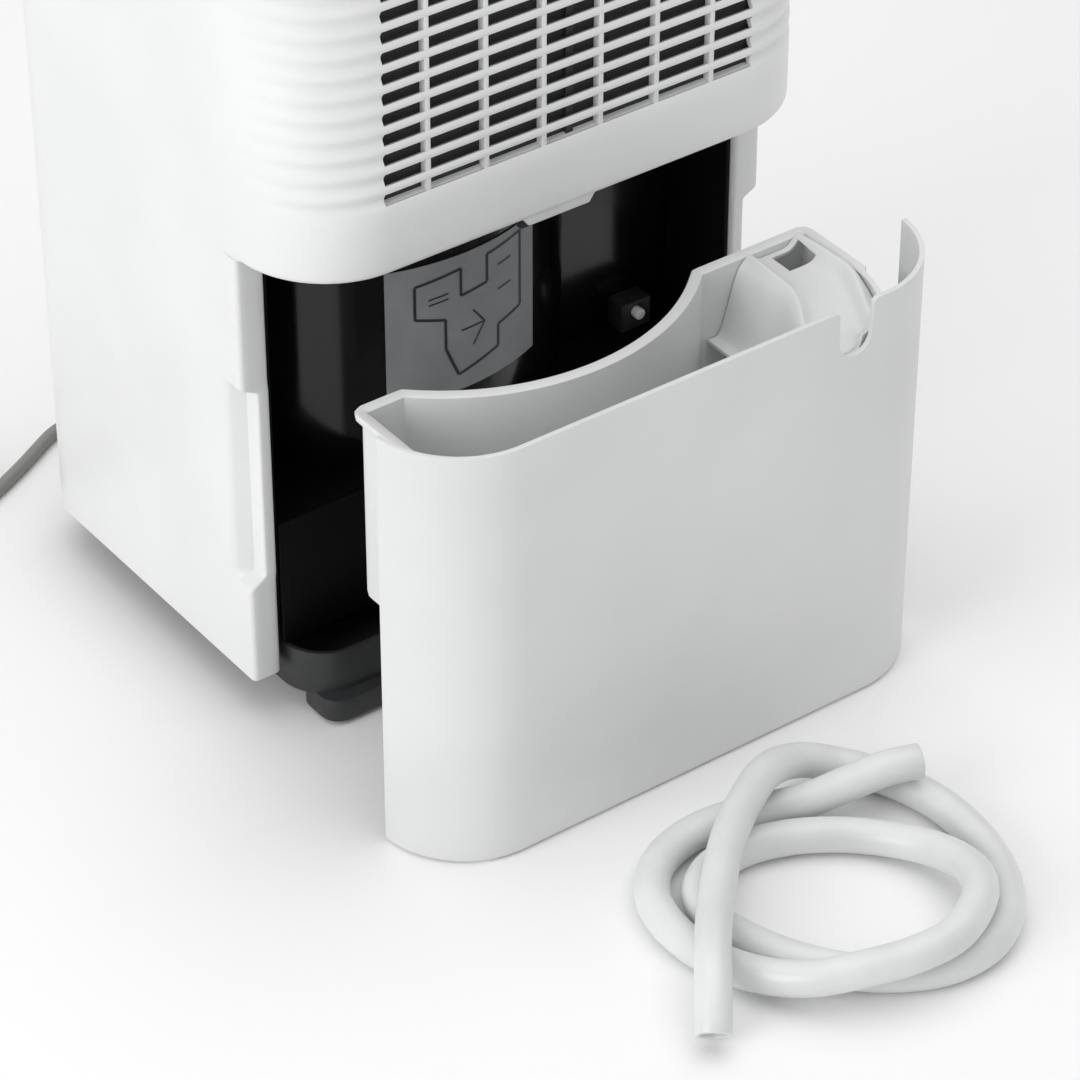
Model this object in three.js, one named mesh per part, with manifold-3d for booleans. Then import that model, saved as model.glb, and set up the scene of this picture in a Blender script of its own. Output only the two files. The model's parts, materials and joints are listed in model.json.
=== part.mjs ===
// Compact compressor dehumidifier, bucket standing on the floor in front of its bay.
// Millimetres, +Z up, +X to the right, the front faces -Y. The origin is on the floor, at the
// centre of the footprint of the machine and its pulled-out bucket.
import * as THREE from 'three';
import { mergeVertices } from 'three/addons/utils/BufferGeometryUtils.js';
import Module from 'manifold-3d';

const wasm = await Module();
wasm.setup();

// ---------------------------------------------------------------- driving sizes
const WIDTH = 300;
const DEPTH = 249;
const HEIGHT = 480;
const WALL = 2.5;
const GAP = 0.3; // between pieces that touch
const FRONT_RADIUS = 50;
const REAR_RADIUS = 30;
const CASE_BOTTOM = 25; // lower edge of the white casing
const COVER_HEIGHT = 34; // of the top cover
const BAY_TOP = 264; // lower edge of the front panel
const BAY_HALF = 134.5; // half the bay's width between its frame strips
const FRAME_SETBACK = 51; // frame strips behind the front panel
const PAN_HEIGHT = 38; // rim of the base pan
const PAN_BOTTOM = 14;
const PAN_HALF = 131;
const PAN_FRONT = 20; // base pan in front of the frame strips
const LEDGE_HEIGHT = 108; // step in the bay that the bucket's rear half passes over

const BUCKET_OUT = 102; // how far the bucket stands in front of its place
const BUCKET_LIFT = 25; // how far it is lifted to go in
const BUCKET_HEIGHT = 230;
const BUCKET_RADIUS = 48;
const BUCKET_WALL = 2.4;
const BUCKET_SIDE = 44; // depth of the front shell's side walls
const TANK_HALF = 127;
const TANK_DEPTH = 90;
const TANK_RIM = 209;
const TANK_STEP = 104; // underside of the tank's rear half
const FLANGE = 3;
const PAN_CLEAR = 1; // between the seated bucket and the base pan

const DOME_X = -20; // axis of the round compressor housing
const DOME_RADIUS = 116;
const DOME_BEHIND = 125; // its axis behind the frame strips
const FLANK_BEHIND = 48;
const DOME_GAP = 4; // between the seated bucket and the housing

const SLOT_PITCH = 10.2;
const SLOT_HEIGHT = 6;
const SLOT_COUNT = 13;
const SLOT_HALF = 102; // half the width of the grille
const SLOT_START = 36.4; // first slot above the panel's lower edge
const RIB_PITCH = 31.5;
const RIB_WIDTH = 3;
const RIB_COUNT = 6;

const CORD_DIAMETER = 7;
const HOSE_DIAMETER = 17;
const CORD_SIDES = 8;

// ---------------------------------------------------------------- places worked out from them
const BACK_Y = (DEPTH + BUCKET_OUT) / 2;
const PANEL_Y = BACK_Y - DEPTH;
const BUCKET_Y = PANEL_Y - BUCKET_OUT;
const FRAME_Y = PANEL_Y + FRAME_SETBACK;
const SEAM_Z = HEIGHT - COVER_HEIGHT;
const HALF = WIDTH / 2;
const INNER_HALF = HALF - WALL;
const DOME_Y = FRAME_Y + DOME_BEHIND;
const FLANK_Y = FRAME_Y + FLANK_BEHIND;
const TANK_REAR_Y = BUCKET_Y + TANK_DEPTH;
const HOLLOW_Y = DOME_Y - BUCKET_OUT; // axis of the tank's concave rear wall
const HOLLOW_RADIUS = DOME_RADIUS + DOME_GAP;
const FLOOR_REAR = FRAME_Y - PAN_FRONT - BUCKET_OUT - PAN_CLEAR; // the bucket's floor ends in front of the pan

// ---------------------------------------------------------------- materials
function material(color, roughness, metalness = 0) {
  return new THREE.MeshStandardMaterial({ color, roughness, metalness });
}
const white = material(0xececea, 0.38);
const bucketWhite = material(0xe6e7e6, 0.42);
const darkGrey = material(0x3a3b3c, 0.5);
const black = material(0x101113, 0.22);
const paper = material(0xa9abac, 0.6);
const steel = material(0x9a9c9f, 0.35, 1);
const copper = material(0xb87345, 0.3, 1);
const finMetal = material(0xb8bcc0, 0.4, 1);
const rubber = material(0x1b1b1c, 0.8);
const cordGrey = material(0x9a9a96, 0.5);
const milky = material(0xdfe3e2, 0.35);
const foam = material(0xf4f4f0, 0.9);
const meshGrey = material(0x8d9092, 0.7);
const board = material(0x1f5c3a, 0.5);

// ---------------------------------------------------------------- shape helpers
function solid(geometry) {
  const bare = geometry.clone();
  bare.deleteAttribute('normal');
  bare.deleteAttribute('uv');
  const merged = mergeVertices(bare, 1e-3);
  const mesh = new wasm.Mesh({
    numProp: 3,
    vertProperties: new Float32Array(merged.attributes.position.array),
    triVerts: new Uint32Array(merged.index.array),
  });
  mesh.merge();
  return new wasm.Manifold(mesh);
}

function block(x0, x1, y0, y1, z0, z1) {
  const box = new THREE.BoxGeometry(x1 - x0, y1 - y0, z1 - z0);
  box.translate((x0 + x1) / 2, (y0 + y1) / 2, (z0 + z1) / 2);
  return solid(box);
}

function prism(shape, z0, z1, curveSegments = 6) {
  const geometry = new THREE.ExtrudeGeometry(shape, { depth: z1 - z0, bevelEnabled: false, curveSegments });
  geometry.translate(0, 0, z0);
  return solid(geometry);
}

// A cylinder between two points.
function rod(radius, from, to, sides = 20) {
  const a = new THREE.Vector3(...from);
  const b = new THREE.Vector3(...to);
  const geometry = new THREE.CylinderGeometry(radius, radius, a.distanceTo(b), sides);
  const turn = new THREE.Quaternion().setFromUnitVectors(
    new THREE.Vector3(0, 1, 0), b.clone().sub(a).normalize());
  geometry.applyQuaternion(turn);
  geometry.translate((a.x + b.x) / 2, (a.y + b.y) / 2, (a.z + b.z) / 2);
  return solid(geometry);
}

// A round tube along a smooth curve through the points.
function bentRod(radius, points, steps, sides = 10) {
  const path = new THREE.CatmullRomCurve3(points.map((p) => new THREE.Vector3(...p)));
  const section = new THREE.Shape();
  for (let i = 0; i < sides; i += 1) {
    const a = (2 * Math.PI * i) / sides;
    const place = [radius * Math.cos(a), radius * Math.sin(a)];
    if (i === 0) section.moveTo(...place);
    else section.lineTo(...place);
  }
  section.closePath();
  return new THREE.ExtrudeGeometry(section, { steps, bevelEnabled: false, extrudePath: path });
}

// A rectangle with round corners: one radius in front (low Y) and one at the back.
function plan(x0, x1, y0, y1, front, rear) {
  const shape = new THREE.Shape();
  shape.moveTo(x0 + front, y0);
  shape.lineTo(x1 - front, y0);
  if (front > 0) shape.absarc(x1 - front, y0 + front, front, -Math.PI / 2, 0);
  shape.lineTo(x1, y1 - rear);
  if (rear > 0) shape.absarc(x1 - rear, y1 - rear, rear, 0, Math.PI / 2);
  shape.lineTo(x0 + rear, y1);
  if (rear > 0) shape.absarc(x0 + rear, y1 - rear, rear, Math.PI / 2, Math.PI);
  shape.lineTo(x0, y0 + front);
  if (front > 0) shape.absarc(x0 + front, y0 + front, front, Math.PI, Math.PI * 1.5);
  shape.closePath();
  return shape;
}

// The casing's outline, moved inwards by a distance.
function casePlan(inset) {
  return plan(-HALF + inset, HALF - inset, PANEL_Y + inset, BACK_Y - inset,
    FRONT_RADIUS - inset, REAR_RADIUS - inset);
}

const group = new THREE.Group();

function piece(name, shape, finish) {
  let geometry = shape;
  if (!shape.isBufferGeometry) {
    const mesh = shape.getMesh();
    geometry = new THREE.BufferGeometry();
    geometry.setAttribute('position', new THREE.BufferAttribute(mesh.vertProperties, 3));
    geometry.setIndex(new THREE.BufferAttribute(mesh.triVerts, 1));
    geometry.computeVertexNormals();
  }
  const mesh = new THREE.Mesh(geometry, finish);
  mesh.name = name;
  group.add(mesh);
}

// ---------------------------------------------------------------- cabinet shell
// One white moulding: front panel with its slots, round corners, sides, rear corners, the two
// frame strips beside the bay, the panel's underside and the finger scoops.
const SCOOP = { low: 78, high: 193, deep: 14, inward: 8.5 };
const FILTER = { half: 107, thick: 4, clear: 0.8, high: 172 };
const FILTER_Y = PANEL_Y + WALL + FILTER.clear;
const REAR_OPENING = { half: 118, high: SEAM_Z - 16 };
const SPOUT = { x: 60, y: PANEL_Y + 34, outer: 7, inner: 5 };

function slots() {
  let cutter = null;
  const edges = [-SLOT_HALF];
  for (let i = 0; i < RIB_COUNT; i += 1) {
    const x = (i - (RIB_COUNT - 1) / 2) * RIB_PITCH;
    edges.push(x - RIB_WIDTH / 2, x + RIB_WIDTH / 2);
  }
  edges.push(SLOT_HALF);
  for (let row = 0; row < SLOT_COUNT; row += 1) {
    const z = BAY_TOP + SLOT_START + row * SLOT_PITCH;
    for (let i = 0; i < edges.length; i += 2) {
      const hole = block(edges[i], edges[i + 1], PANEL_Y - 1, PANEL_Y + WALL + 1, z, z + SLOT_HEIGHT);
      cutter = cutter ? cutter.add(hole) : hole;
    }
  }
  return cutter;
}

function cabinetShell() {
  const top = SEAM_Z - GAP;
  let shell = prism(casePlan(0), CASE_BOTTOM, top).subtract(prism(casePlan(WALL), 0, HEIGHT));
  shell = shell.subtract(block(-WIDTH, WIDTH, PANEL_Y - 10, FRAME_Y, 0, BAY_TOP));
  const under = prism(casePlan(WALL / 2), BAY_TOP, BAY_TOP + WALL)
    .intersect(block(-WIDTH, WIDTH, PANEL_Y, FRAME_Y + WALL, 0, HEIGHT));
  shell = shell.add(under);
  for (const side of [-1, 1]) {
    const span = (a, b) => [Math.min(side * a, side * b), Math.max(side * a, side * b)];
    shell = shell.add(block(...span(BAY_HALF, HALF - 1), FRAME_Y, FRAME_Y + WALL,
      CASE_BOTTOM, BAY_TOP + WALL));
    const wall = HALF - SCOOP.inward - WALL;
    shell = shell.add(block(...span(wall, HALF - 1), FRAME_Y, FRAME_Y + SCOOP.deep + WALL,
      SCOOP.low - WALL, SCOOP.high + WALL));
    shell = shell.subtract(block(...span(wall + WALL, HALF + 1), FRAME_Y - 1, FRAME_Y + SCOOP.deep,
      SCOOP.low, SCOOP.high));
  }
  shell = shell.subtract(slots());
  shell = shell.subtract(block(-REAR_OPENING.half, REAR_OPENING.half, BACK_Y - WALL - 1, BACK_Y + 1,
    CASE_BOTTOM - 1, REAR_OPENING.high));
  const slit = FILTER.half + 1;
  shell = shell.subtract(block(-slit, slit, FILTER_Y - 0.5, FILTER_Y + FILTER.thick + 0.5,
    BAY_TOP - 1, BAY_TOP + WALL + 1));
  const hole = SPOUT.outer + 1;
  shell = shell.subtract(rod(hole, [SPOUT.x, SPOUT.y, BAY_TOP - 1], [SPOUT.x, SPOUT.y, BAY_TOP + WALL + 1]));
  return shell;
}
piece('cabinet_shell', cabinetShell(), white);

// ---------------------------------------------------------------- rear cover
const VENT = { half: 90, count: 8, pitch: 9, high: 4, low: 90 };
const CORD_EXIT = { x: -70, z: 34, hole: 7 };

function rearCover() {
  const edge = REAR_OPENING.half - GAP;
  let cover = block(-edge, edge, BACK_Y - WALL, BACK_Y, CASE_BOTTOM, REAR_OPENING.high - GAP);
  for (let i = 0; i < VENT.count; i += 1) {
    const z = VENT.low + i * VENT.pitch;
    cover = cover.subtract(block(-VENT.half, VENT.half, BACK_Y - WALL - 1, BACK_Y + 1, z, z + VENT.high));
  }
  return cover.subtract(rod(CORD_EXIT.hole, [CORD_EXIT.x, BACK_Y - WALL - 1, CORD_EXIT.z],
    [CORD_EXIT.x, BACK_Y + 1, CORD_EXIT.z]));
}
piece('rear_cover', rearCover(), white);

// ---------------------------------------------------------------- top cover
const HANDLE = { half: 76, front: PANEL_Y + 85, rear: PANEL_Y + 137, thick: 8, bar: 13, pin: 3, tail: 5 };
const WELL = { side: 3, deep: 14.6 };
const OUTLET = { half: 100, front: PANEL_Y + 165, rear: PANEL_Y + 217, plate: 2.5 };
const CONTROL = { half: 90, front: PANEL_Y + 12, rear: PANEL_Y + 50, plate: 2 };
const BUTTON = { radius: 6, travel: 1.5, proud: 1, long: 12, pitch: 24 };
const LENS = { half: 24, clear: 0.4 };
const buttonNames = ['button_power', 'button_mode', 'button_timer', 'button_fan'];
const CONTROL_Y = (CONTROL.front + CONTROL.rear) / 2;

function buttonX(i) {
  const outward = LENS.half + BUTTON.pitch / 2 + 4 + (i % 2) * BUTTON.pitch;
  return i < 2 ? -outward : outward;
}

function topCover() {
  const roof = HEIGHT - WALL;
  let cover = prism(casePlan(0), SEAM_Z, HEIGHT).subtract(prism(casePlan(WALL), SEAM_Z - 1, roof));
  const reach = HANDLE.half + 4;
  const well = block(-reach - WELL.side, reach + WELL.side, HANDLE.front - 4 - WELL.side,
    HANDLE.rear + 4 + WELL.side, HEIGHT - WELL.deep - WALL, HEIGHT - 1);
  cover = cover.add(well);
  cover = cover.subtract(block(-reach, reach, HANDLE.front - 4, HANDLE.rear + 4,
    HEIGHT - WELL.deep, HEIGHT + 1));
  const pinY = HANDLE.rear - HANDLE.tail;
  const pinZ = HEIGHT - WELL.deep / 2;
  cover = cover.subtract(rod(HANDLE.pin + 0.4, [-reach - WELL.side - 1, pinY, pinZ],
    [reach + WELL.side + 1, pinY, pinZ], 16));
  cover = cover.subtract(block(-OUTLET.half, OUTLET.half, OUTLET.front, OUTLET.rear, roof - 1, HEIGHT + 1));
  cover = cover.subtract(block(-CONTROL.half, CONTROL.half, CONTROL.front, CONTROL.rear,
    roof - 1, HEIGHT + 1));
  return cover;
}
piece('top_cover', topCover(), white);

function controlPanel() {
  const edge = CONTROL.half - GAP;
  let plate = block(-edge, edge, CONTROL.front + GAP, CONTROL.rear - GAP, HEIGHT - CONTROL.plate, HEIGHT);
  plate = plate.subtract(block(-LENS.half, LENS.half, CONTROL.front + 8, CONTROL.rear - 8,
    HEIGHT - 5, HEIGHT + 1));
  buttonNames.forEach((name, i) => {
    plate = plate.subtract(rod(BUTTON.radius + 0.4, [buttonX(i), CONTROL_Y, HEIGHT - 5],
      [buttonX(i), CONTROL_Y, HEIGHT + 1]));
  });
  return plate;
}
piece('control_panel', controlPanel(), darkGrey);
piece('display_lens', block(-LENS.half + LENS.clear, LENS.half - LENS.clear, CONTROL.front + 8 + LENS.clear,
  CONTROL.rear - 8 - LENS.clear, HEIGHT - CONTROL.plate, HEIGHT + 0.4), black);
buttonNames.forEach((name, i) => {
  piece(name, rod(BUTTON.radius, [buttonX(i), CONTROL_Y, HEIGHT + BUTTON.proud - BUTTON.long],
    [buttonX(i), CONTROL_Y, HEIGHT + BUTTON.proud]), white);
});
const BOARD_Z = HEIGHT + BUTTON.proud - BUTTON.long - BUTTON.travel - 2.5;
piece('control_board', block(-CONTROL.half + 4, CONTROL.half - 4, CONTROL.front + 2, CONTROL.rear - 2,
  BOARD_Z, BOARD_Z + 1.6), board);

// ---------------------------------------------------------------- carry handle, folded into its well
function carryHandle() {
  const top = HEIGHT - (WELL.deep - HANDLE.thick) / 2;
  const base = top - HANDLE.thick;
  let bail = block(-HANDLE.half, HANDLE.half, HANDLE.front, HANDLE.rear, base, top);
  bail = bail.subtract(block(-HANDLE.half + HANDLE.bar, HANDLE.half - HANDLE.bar,
    HANDLE.front + HANDLE.bar, HANDLE.rear + 1, base - 1, top + 1));
  const pinY = HANDLE.rear - HANDLE.tail;
  const pinZ = HEIGHT - WELL.deep / 2;
  for (const side of [-1, 1]) {
    bail = bail.add(rod(HANDLE.pin, [side * (HANDLE.half - 4), pinY, pinZ],
      [side * (HANDLE.half + 6), pinY, pinZ], 16));
  }
  return bail;
}
piece('carry_handle', carryHandle(), white);

// ---------------------------------------------------------------- air outlet: fixed grille and flap
function outletGrille() {
  const reach = OUTLET.half + 4;
  const low = HEIGHT - 16;
  let frame = block(-reach, reach, OUTLET.front - 4, OUTLET.rear + 4, low, low + 6);
  const cells = 10;
  const cell = (2 * OUTLET.half) / cells;
  for (let i = 0; i < cells; i += 1) {
    const x = -OUTLET.half + i * cell;
    frame = frame.subtract(block(x + 1, x + cell - 1, OUTLET.front + 2, OUTLET.rear - 2, low - 1, low + 7));
  }
  return frame;
}
piece('outlet_grille', outletGrille(), darkGrey);

const FLAP_PIN = { radius: 2, inset: 4 };
function outletFlap() {
  const edge = OUTLET.half - 1;
  let flap = block(-edge, edge, OUTLET.front + 1, OUTLET.rear - 1, HEIGHT - OUTLET.plate, HEIGHT);
  flap = flap.add(rod(FLAP_PIN.radius, [-edge, OUTLET.rear - FLAP_PIN.inset, HEIGHT - OUTLET.plate],
    [edge, OUTLET.rear - FLAP_PIN.inset, HEIGHT - OUTLET.plate], 12));
  return flap;
}
piece('outlet_flap', outletFlap(), white);

// ---------------------------------------------------------------- base pan with its feet
const FOOT = { x: 104, half: 20, y: 30, top: 15, front: FRAME_Y - PAN_FRONT + 8, rear: BACK_Y - 36 };

const PAD_HEIGHT = 2.5;

function basePan() {
  const rear = BACK_Y - WALL - 1;
  let pan = prism(plan(-PAN_HALF, PAN_HALF, FRAME_Y - PAN_FRONT, rear, 25, 26), PAN_BOTTOM, PAN_HEIGHT);
  pan = pan.subtract(prism(plan(-PAN_HALF + WALL, PAN_HALF - WALL, FRAME_Y - PAN_FRONT + WALL,
    rear - WALL, 22.5, 23.5), PAN_BOTTOM + WALL, PAN_HEIGHT + 1));
  for (const side of [-1, 1]) {
    for (const y of [FOOT.front, FOOT.rear]) {
      const x = side * FOOT.x;
      pan = pan.add(prism(plan(x - FOOT.half, x + FOOT.half, y - FOOT.y / 2, y + FOOT.y / 2, 10, 10),
        PAD_HEIGHT + GAP, FOOT.top));
    }
  }
  return pan;
}
piece('base_pan', basePan(), darkGrey);

['left', 'right'].forEach((name, i) => {
  const x = (i ? 1 : -1) * FOOT.x;
  const rows = { front: FOOT.front, rear: FOOT.rear };
  for (const [row, y] of Object.entries(rows)) {
    piece(`foot_pad_${row}_${name}`, rod(9, [x, y, 0], [x, y, PAD_HEIGHT]), rubber);
  }
});

// ---------------------------------------------------------------- bay lining
const LINER = 2.2;
const LINER_HALF = BAY_HALF - GAP;
const LINER_INNER = LINER_HALF - LINER;
const LINER_FRONT = FRAME_Y + WALL + GAP;

for (const [name, side] of [['bay_wall_left', -1], ['bay_wall_right', 1]]) {
  const xs = [side * LINER_INNER, side * LINER_HALF].sort((a, b) => a - b);
  piece(name, block(xs[0], xs[1], LINER_FRONT, FLANK_Y + 20, PAN_HEIGHT + GAP, BAY_TOP - GAP), black);
}

const SHELF_HALF = LINER_INNER - GAP;

function bayPlinth() {
  const rear = FLANK_Y + 4;
  const front = FRAME_Y + 2;
  let plinth = block(-SHELF_HALF, SHELF_HALF, front, rear, PAN_HEIGHT + GAP, LEDGE_HEIGHT);
  plinth = plinth.subtract(block(-SHELF_HALF + WALL, SHELF_HALF - WALL, front + WALL, rear + 1,
    0, LEDGE_HEIGHT - WALL));
  return plinth;
}
piece('bay_plinth', bayPlinth(), black);

function housingOutline() {
  const shape = new THREE.Shape();
  const drop = DOME_Y - FLANK_Y;
  const outer = Math.asin(drop / DOME_RADIUS);
  const innerRadius = DOME_RADIUS - WALL;
  const inner = Math.asin((drop - WALL) / innerRadius);
  shape.moveTo(-SHELF_HALF, FLANK_Y);
  shape.lineTo(DOME_X - DOME_RADIUS * Math.cos(outer), FLANK_Y);
  shape.absarc(DOME_X, DOME_Y, DOME_RADIUS, Math.PI + outer, 2 * Math.PI - outer, false);
  shape.lineTo(SHELF_HALF, FLANK_Y);
  shape.lineTo(SHELF_HALF, FLANK_Y + WALL);
  shape.lineTo(DOME_X + innerRadius * Math.cos(inner), FLANK_Y + WALL);
  shape.absarc(DOME_X, DOME_Y, innerRadius, 2 * Math.PI - inner, Math.PI + inner, true);
  shape.lineTo(-SHELF_HALF, FLANK_Y + WALL);
  shape.closePath();
  return shape;
}
piece('compressor_housing', prism(housingOutline(), LEDGE_HEIGHT + GAP, BAY_TOP - 2, 20), black);

// Instruction label, a thin sheet bent round the housing.
const LABEL = { from: -20, to: 24, low: 138, high: 214, thick: 0.5 };
function labelOutline() {
  const inner = DOME_RADIUS + GAP;
  const a = THREE.MathUtils.degToRad(LABEL.from - 90);
  const b = THREE.MathUtils.degToRad(LABEL.to - 90);
  const shape = new THREE.Shape();
  shape.absarc(DOME_X, DOME_Y, inner + LABEL.thick, a, b, false);
  shape.absarc(DOME_X, DOME_Y, inner, b, a, true);
  shape.closePath();
  return shape;
}
piece('instruction_label', prism(labelOutline(), LABEL.low, LABEL.high, 12), paper);

piece('bay_ceiling', block(-SHELF_HALF, SHELF_HALF, FRAME_Y + WALL + GAP, FLANK_Y + 20,
  BAY_TOP, BAY_TOP + 2), black);

// ---------------------------------------------------------------- bucket switch in the bay
const SWITCH = { x: 104, half: 9, deep: 12, low: 4, high: 16, travel: 3 };
const SWITCH_Y = FLANK_Y - GAP - SWITCH.deep;
piece('bucket_switch', block(SWITCH.x - SWITCH.half, SWITCH.x + SWITCH.half, SWITCH_Y, FLANK_Y - GAP,
  LEDGE_HEIGHT + GAP, LEDGE_HEIGHT + SWITCH.high).subtract(
  rod(3.4, [SWITCH.x, SWITCH_Y - 1, LEDGE_HEIGHT + 10], [SWITCH.x, SWITCH_Y + 8, LEDGE_HEIGHT + 10], 16)), darkGrey);
piece('switch_plunger', rod(3, [SWITCH.x, SWITCH_Y - 3.5, LEDGE_HEIGHT + 10],
  [SWITCH.x, SWITCH_Y + 4, LEDGE_HEIGHT + 10], 16), white);

// ---------------------------------------------------------------- air filter behind the grille
const GRIP = { x: -6, half: 21, drop: 5 };
function airFilter() {
  const low = BAY_TOP + WALL + 2;
  const high = low + FILTER.high - 8;
  let frame = block(-FILTER.half, FILTER.half, FILTER_Y, FILTER_Y + FILTER.thick, low, high);
  for (const [x0, x1] of [[-FILTER.half + 5, -2], [2, FILTER.half - 5]]) {
    frame = frame.subtract(block(x0, x1, FILTER_Y - 1, FILTER_Y + 1.6, low + 5, high - 5));
  }
  return frame.add(block(GRIP.x - GRIP.half, GRIP.x + GRIP.half, FILTER_Y, FILTER_Y + FILTER.thick - 0.5,
    BAY_TOP - GRIP.drop, low + 1));
}
piece('air_filter', airFilter(), meshGrey);

// ---------------------------------------------------------------- cooling circuit
const COIL = { half: 104, low: BAY_TOP + 24, high: SEAM_Z - 12, deep: 26 };
const EVAPORATOR_Y = FILTER_Y + FILTER.thick + 8;
const CONDENSER_Y = EVAPORATOR_Y + COIL.deep + 8;
function finBlock(y) {
  let fins = block(-COIL.half, COIL.half, y, y + COIL.deep, COIL.low, COIL.high);
  const grooves = 12;
  const step = (2 * COIL.half) / grooves;
  for (let i = 0; i < grooves; i += 1) {
    const x = -COIL.half + (i + 0.5) * step;
    fins = fins.subtract(block(x - 3, x + 3, y - 1, y + 5, COIL.low + 6, COIL.high - 6));
  }
  return fins;
}
piece('evaporator', finBlock(EVAPORATOR_Y), finMetal);
piece('condenser', finBlock(CONDENSER_Y), finMetal);

function dripTray() {
  const low = BAY_TOP + 4;
  const y0 = EVAPORATOR_Y - 4;
  const y1 = CONDENSER_Y + COIL.deep + 4;
  const edge = COIL.half + 6;
  let tray = block(-edge, edge, y0, y1, low, low + 16);
  tray = tray.subtract(block(-edge + 2, edge - 2, y0 + 2, y1 - 2, low + 2, low + 17));
  const place = (z) => [SPOUT.x, SPOUT.y, z];
  tray = tray.add(rod(SPOUT.outer, place(BAY_TOP - 6), place(low + 1)));
  return tray.subtract(rod(SPOUT.inner, place(BAY_TOP - 7), place(low + 3)));
}
piece('drip_tray', dripTray(), darkGrey);

const COMPRESSOR = { radius: 50, low: 46, high: 226 };
const compressorProfile = [[0, 0], [40, 0], [50, 8], [50, 150], [46, 166], [30, 178], [0, 180]];
function compressor() {
  const profile = compressorProfile.map(([r, z]) => new THREE.Vector2(r, z));
  const dome = new THREE.LatheGeometry(profile, 24);
  dome.rotateX(Math.PI / 2);
  dome.translate(DOME_X, DOME_Y, COMPRESSOR.low);
  return solid(dome);
}
piece('compressor', compressor(), black);

const PLATE = { half: 66, thick: 2 };
piece('compressor_plate', block(DOME_X - PLATE.half, DOME_X + PLATE.half, DOME_Y - 50, DOME_Y + 50,
  COMPRESSOR.low - PLATE.thick - GAP, COMPRESSOR.low - GAP), steel);
const mountPlaces = [[-54, -40], [54, -40], [0, 42]];
mountPlaces.forEach(([dx, dy], i) => {
  const top = COMPRESSOR.low - PLATE.thick - 2 * GAP;
  piece(`compressor_mount_${i + 1}`, rod(9, [DOME_X + dx, DOME_Y + dy, PAN_BOTTOM + WALL + GAP],
    [DOME_X + dx, DOME_Y + dy, top]), rubber);
});
piece('accumulator', rod(20, [DOME_X + 82, DOME_Y, 90], [DOME_X + 82, DOME_Y, 200]), black);

const PIPE_RADIUS = 4;
piece('suction_pipe', bentRod(PIPE_RADIUS, [
  [DOME_X + 82, DOME_Y, 200 + GAP], [DOME_X + 82, DOME_Y, 225], [DOME_X + 96, DOME_Y - 4, 240],
  [112, DOME_Y - 14, 256], [118, DOME_Y - 20, 275], [118, 60, 300], [118, 20, 320], [118, 0, 330],
  [118, -20, 334], [117, EVAPORATOR_Y + 16, 334], [112, EVAPORATOR_Y + 13, 334],
  [COIL.half + GAP, EVAPORATOR_Y + 13, 334]], 28, 8), copper);
piece('discharge_pipe', bentRod(PIPE_RADIUS, [
  [DOME_X, DOME_Y, 226 + GAP], [DOME_X, DOME_Y, 236], [DOME_X - 12, DOME_Y, 246],
  [DOME_X - 50, DOME_Y - 4, 248], [DOME_X - 84, DOME_Y - 20, 252], [-118, DOME_Y - 34, 270],
  [-118, 40, 320], [-118, 20, 350], [-117, CONDENSER_Y + 15, 360], [-112, CONDENSER_Y + 13, 360],
  [-COIL.half - GAP, CONDENSER_Y + 13, 360]], 26, 8), copper);

// ---------------------------------------------------------------- fan
const FAN = { z: 360, y: PANEL_Y + 152, radius: 66, deep: 46, hub: 12 };
function fanVolute() {
  const front = FAN.y - 5;
  const rear = FAN.y + FAN.deep + 5;
  let box = block(-88, 88, front, rear, 278, HEIGHT - 18);
  box = box.subtract(rod(FAN.radius + 8, [0, front + 2.5, FAN.z], [0, rear - 2.5, FAN.z], 32));
  box = box.subtract(block(-80, 80, front + 2.5, rear - 2.5, FAN.z, HEIGHT));
  box = box.subtract(rod(50, [0, front - 1, FAN.z], [0, front + 4, FAN.z], 32));
  return box.subtract(rod(5, [0, rear - 4, FAN.z], [0, rear + 1, FAN.z], 16));
}
piece('fan_volute', fanVolute(), darkGrey);

function fanWheel() {
  const at = (y) => [0, y, FAN.z];
  const back = FAN.y + FAN.deep;
  let wheel = rod(FAN.radius, at(back - 3), at(back), 32);
  wheel = wheel.add(rod(FAN.hub, at(back - 22), at(back), 24));
  const blades = 12;
  for (let i = 0; i < blades; i += 1) {
    const blade = new THREE.BoxGeometry(2.4, FAN.deep - 1, 14);
    blade.rotateY(0.5);
    blade.translate(0, FAN.y + (FAN.deep - 1) / 2, FAN.radius - 9);
    blade.rotateY((2 * Math.PI * i) / blades);
    blade.translate(0, 0, FAN.z);
    wheel = wheel.add(solid(blade));
  }
  const ring = rod(FAN.radius, at(FAN.y), at(FAN.y + 3), 32).subtract(
    rod(FAN.radius - 4, at(FAN.y - 1), at(FAN.y + 4), 32));
  wheel = wheel.add(ring);
  return wheel.add(rod(3, at(back - 1), at(back + 14), 16));
}
piece('fan_wheel', fanWheel(), darkGrey);

const MOTOR = { radius: 34, front: FAN.y + FAN.deep + 6, long: 34 };
piece('fan_motor', rod(MOTOR.radius, [0, MOTOR.front, FAN.z], [0, MOTOR.front + MOTOR.long, FAN.z]).subtract(
  rod(3.4, [0, MOTOR.front - 1, FAN.z], [0, MOTOR.front + 14, FAN.z], 16)), steel);
piece('run_capacitor', rod(14, [112, 120, 300], [112, 120, 352]), steel);

// ---------------------------------------------------------------- bucket: white front shell
const NOTCH = { x: 84.5, half: 9.5, deep: 27 };
const SHELL_GAP = 0.4;
const TANK_THICK = 2;

// The front shell bends round both front corners and stops at the depth of its side walls.
function shellPlan(inset) {
  return plan(-HALF + inset, HALF - inset, BUCKET_Y + inset, BUCKET_Y + BUCKET_SIDE + 60,
    BUCKET_RADIUS - inset, 0);
}

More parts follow.
